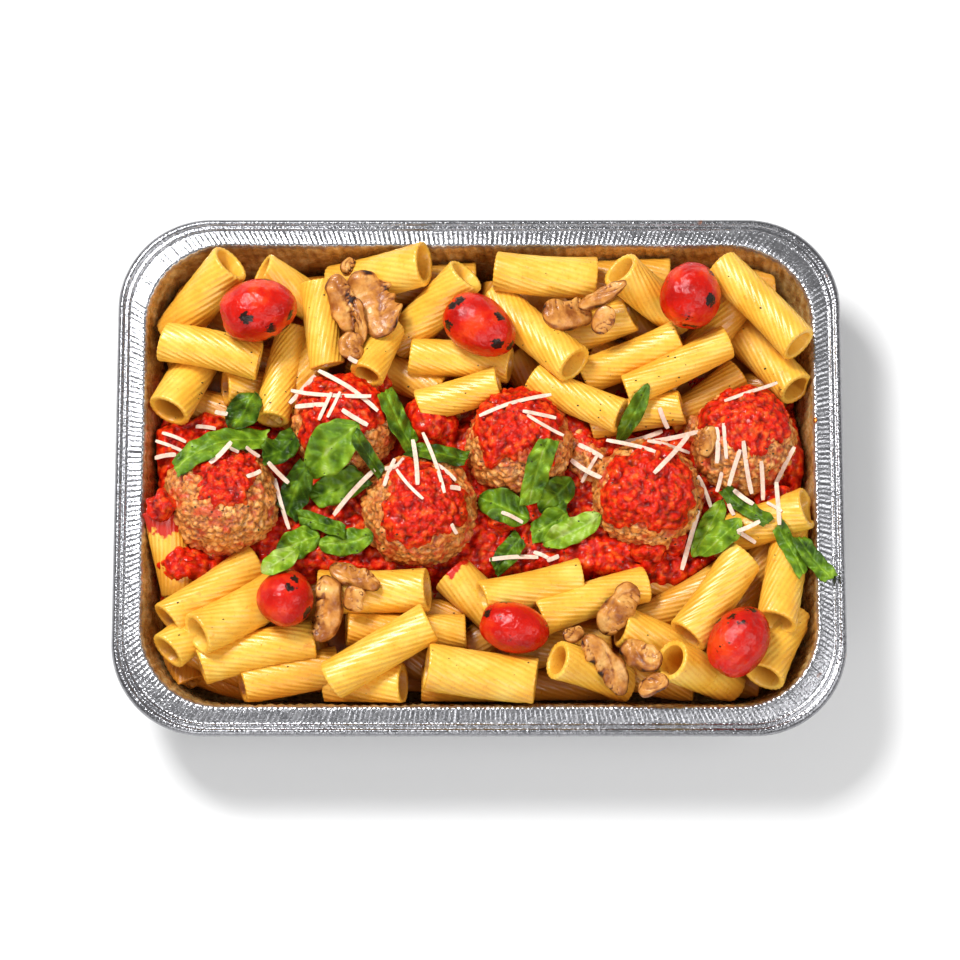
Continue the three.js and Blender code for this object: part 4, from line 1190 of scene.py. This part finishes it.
def make_shreds(ground):
    """Thin bars of parmesan, each lying on the highest thing below it."""
    rng = random.Random(5)
    shape = Shape()
    steps = 10
    for x1, y1, x2, y2 in SHREDS:
        share = np.linspace(0, 1, steps + 1)
        length = math.hypot(x2 - x1, y2 - y1)
        bow = rng.uniform(-0.04, 0.04) * length
        facing = math.atan2(y2 - y1, x2 - x1)
        arch = 4 * share * (1 - share) * bow
        xs = x1 + (x2 - x1) * share - arch * math.sin(facing)
        ys = y1 + (y2 - y1) * share + arch * math.cos(facing)
        heights = [[ground.height(px, py)] for px, py in zip(xs, ys)]
        lift = drape(heights, 0.8 * length / steps, 9.0, 40)[:, 0]
        lift = 0.5 * (lift + np.poly1d(np.polyfit(share, lift, 1))(share))
        lift += max(0.0, float(np.max(np.array(heights)[:, 0] - lift)) * 0.6) + 0.4
        wide = rng.uniform(0.7, 1.05)
        tall = rng.uniform(0.3, 0.45)
        points = []
        for i in range(steps + 1):
            taper = 0.75 if i in (0, steps) else 1.0
            for a, b in ((-1, -1), (1, -1), (1, 1), (-1, 1)):
                across = a * wide * taper
                points.append((
                    xs[i] - across * math.sin(facing),
                    ys[i] + across * math.cos(facing),
                    lift[i] + b * tall,
                ))
        faces = grid_faces(steps + 1, 4, closed=True)
        faces += [(3, 2, 1, 0), tuple(steps * 4 + k for k in range(4))]
        shape.add(points, faces)
    piece = make_piece("parmesan_shreds", shape, cheese_material())
    piece.data.polygons.foreach_set("use_smooth", np.zeros(len(piece.data.polygons), dtype=bool))


# Flakes tried, how many of them along the meatballs, and the lowest place where one is laid.
HERB_FLAKES = 300
FLAKES_IN_THE_MIDDLE = 210
LOWEST_FLAKE = 36


def make_herbs(ground):
    """Small flakes of dried herb and pepper: many along the meatballs, few on the pasta."""
    rng = random.Random(21)
    shape = Shape()
    for flake in range(HERB_FLAKES):
        reach = 45 if flake < FLAKES_IN_THE_MIDDLE else 96
        x = rng.uniform(-140, 140)
        y = rng.uniform(-reach, reach)
        size = rng.uniform(0.22, 0.55)
        z = ground.height(x, y)
        if z < LOWEST_FLAKE:
            continue
        turn = rng.uniform(0, math.pi)
        sides = 5
        points = [(x, y, z + 0.3)]
        for k in range(sides):
            angle = turn + 2 * math.pi * k / sides
            out = size * rng.uniform(0.5, 1.0)
            px, py = x + out * math.cos(angle) * 1.5, y + out * math.sin(angle)
            points.append((px, py, max(z - 0.8, ground.height(px, py)) + 0.12))
        points.append((x, y, z - 0.3))
        faces = [(0, 1 + k, 1 + (k + 1) % sides) for k in range(sides)]
        faces += [(sides + 1, 1 + (k + 1) % sides, 1 + k) for k in range(sides)]
        shape.add(points, faces)
    make_piece("herb_flakes", shape, herb_material())


# ---- stage ----

CAMERA_ELEVATION = 78
CAMERA_DISTANCE = 1.67
CAMERA_AIM = (0, 0, 0.046)
CAMERA_LENS = 138.2
CAMERA_SHIFT = (0.0008, -0.0051)
SKY_STRENGTH = 0.32

# Lights: name, place, size and power.
LIGHTS = [
    ("key", (-0.6, 0.7, 1.3), 0.45, 26),
    ("fill", (0.9, -0.4, 1.2), 0.8, 8),
    ("front", (-0.3, -1.2, 0.9), 0.8, 7),
]


def make_stage():
    bpy.ops.mesh.primitive_plane_add(size=6, location=(0, 0, 0))
    floor = bpy.context.object
    floor.name = "floor"
    plain = Shader("pale_floor", Roughness=0.9)
    plain.feed("Base Color", plain.ramp(plain.noise(3, 1), (0.0, 0.84), (1.0, 0.88)))
    floor.data.materials.append(plain.material)

    world = bpy.data.worlds.new("studio")
    world.use_nodes = True
    world.node_tree.nodes["Background"].inputs["Color"].default_value = (1, 1, 1, 1)
    world.node_tree.nodes["Background"].inputs["Strength"].default_value = SKY_STRENGTH
    bpy.context.scene.world = world

    for name, place, size, power in LIGHTS:
        lamp = bpy.data.lights.new(name, "AREA")
        lamp.energy = power
        lamp.size = size
        light = bpy.data.objects.new(name, lamp)
        light.location = place
        light.rotation_euler = (Vector((0, 0, 0.04)) - Vector(place)).to_track_quat("-Z", "Y").to_euler()
        bpy.context.scene.collection.objects.link(light)

    tilt = math.radians(CAMERA_ELEVATION)
    aim = Vector(CAMERA_AIM)
    lens = bpy.data.cameras.new("camera")
    lens.lens = CAMERA_LENS
    lens.shift_x, lens.shift_y = CAMERA_SHIFT
    camera = bpy.data.objects.new("camera", lens)
    camera.location = aim + CAMERA_DISTANCE * Vector((0, -math.cos(tilt), math.sin(tilt)))
    camera.rotation_euler = (aim - camera.location).to_track_quat("-Z", "Y").to_euler()
    bpy.context.scene.collection.objects.link(camera)
    bpy.context.scene.camera = camera
    bpy.context.scene.view_settings.view_transform = "Standard"


make_stage()
make_tray()
ground = Ground()
for tubes in make_rigatoni():
    ground.add(tubes)
make_core()
meat = meat_material()
sauce = sauce_material()
for shape in [*make_meatballs(meat, sauce), *make_dollops(sauce), make_sauce(sauce), *make_tomatoes()]:
    ground.add(shape)
make_mushrooms(ground)
make_basil(ground)
make_shreds(ground)
make_herbs(ground)
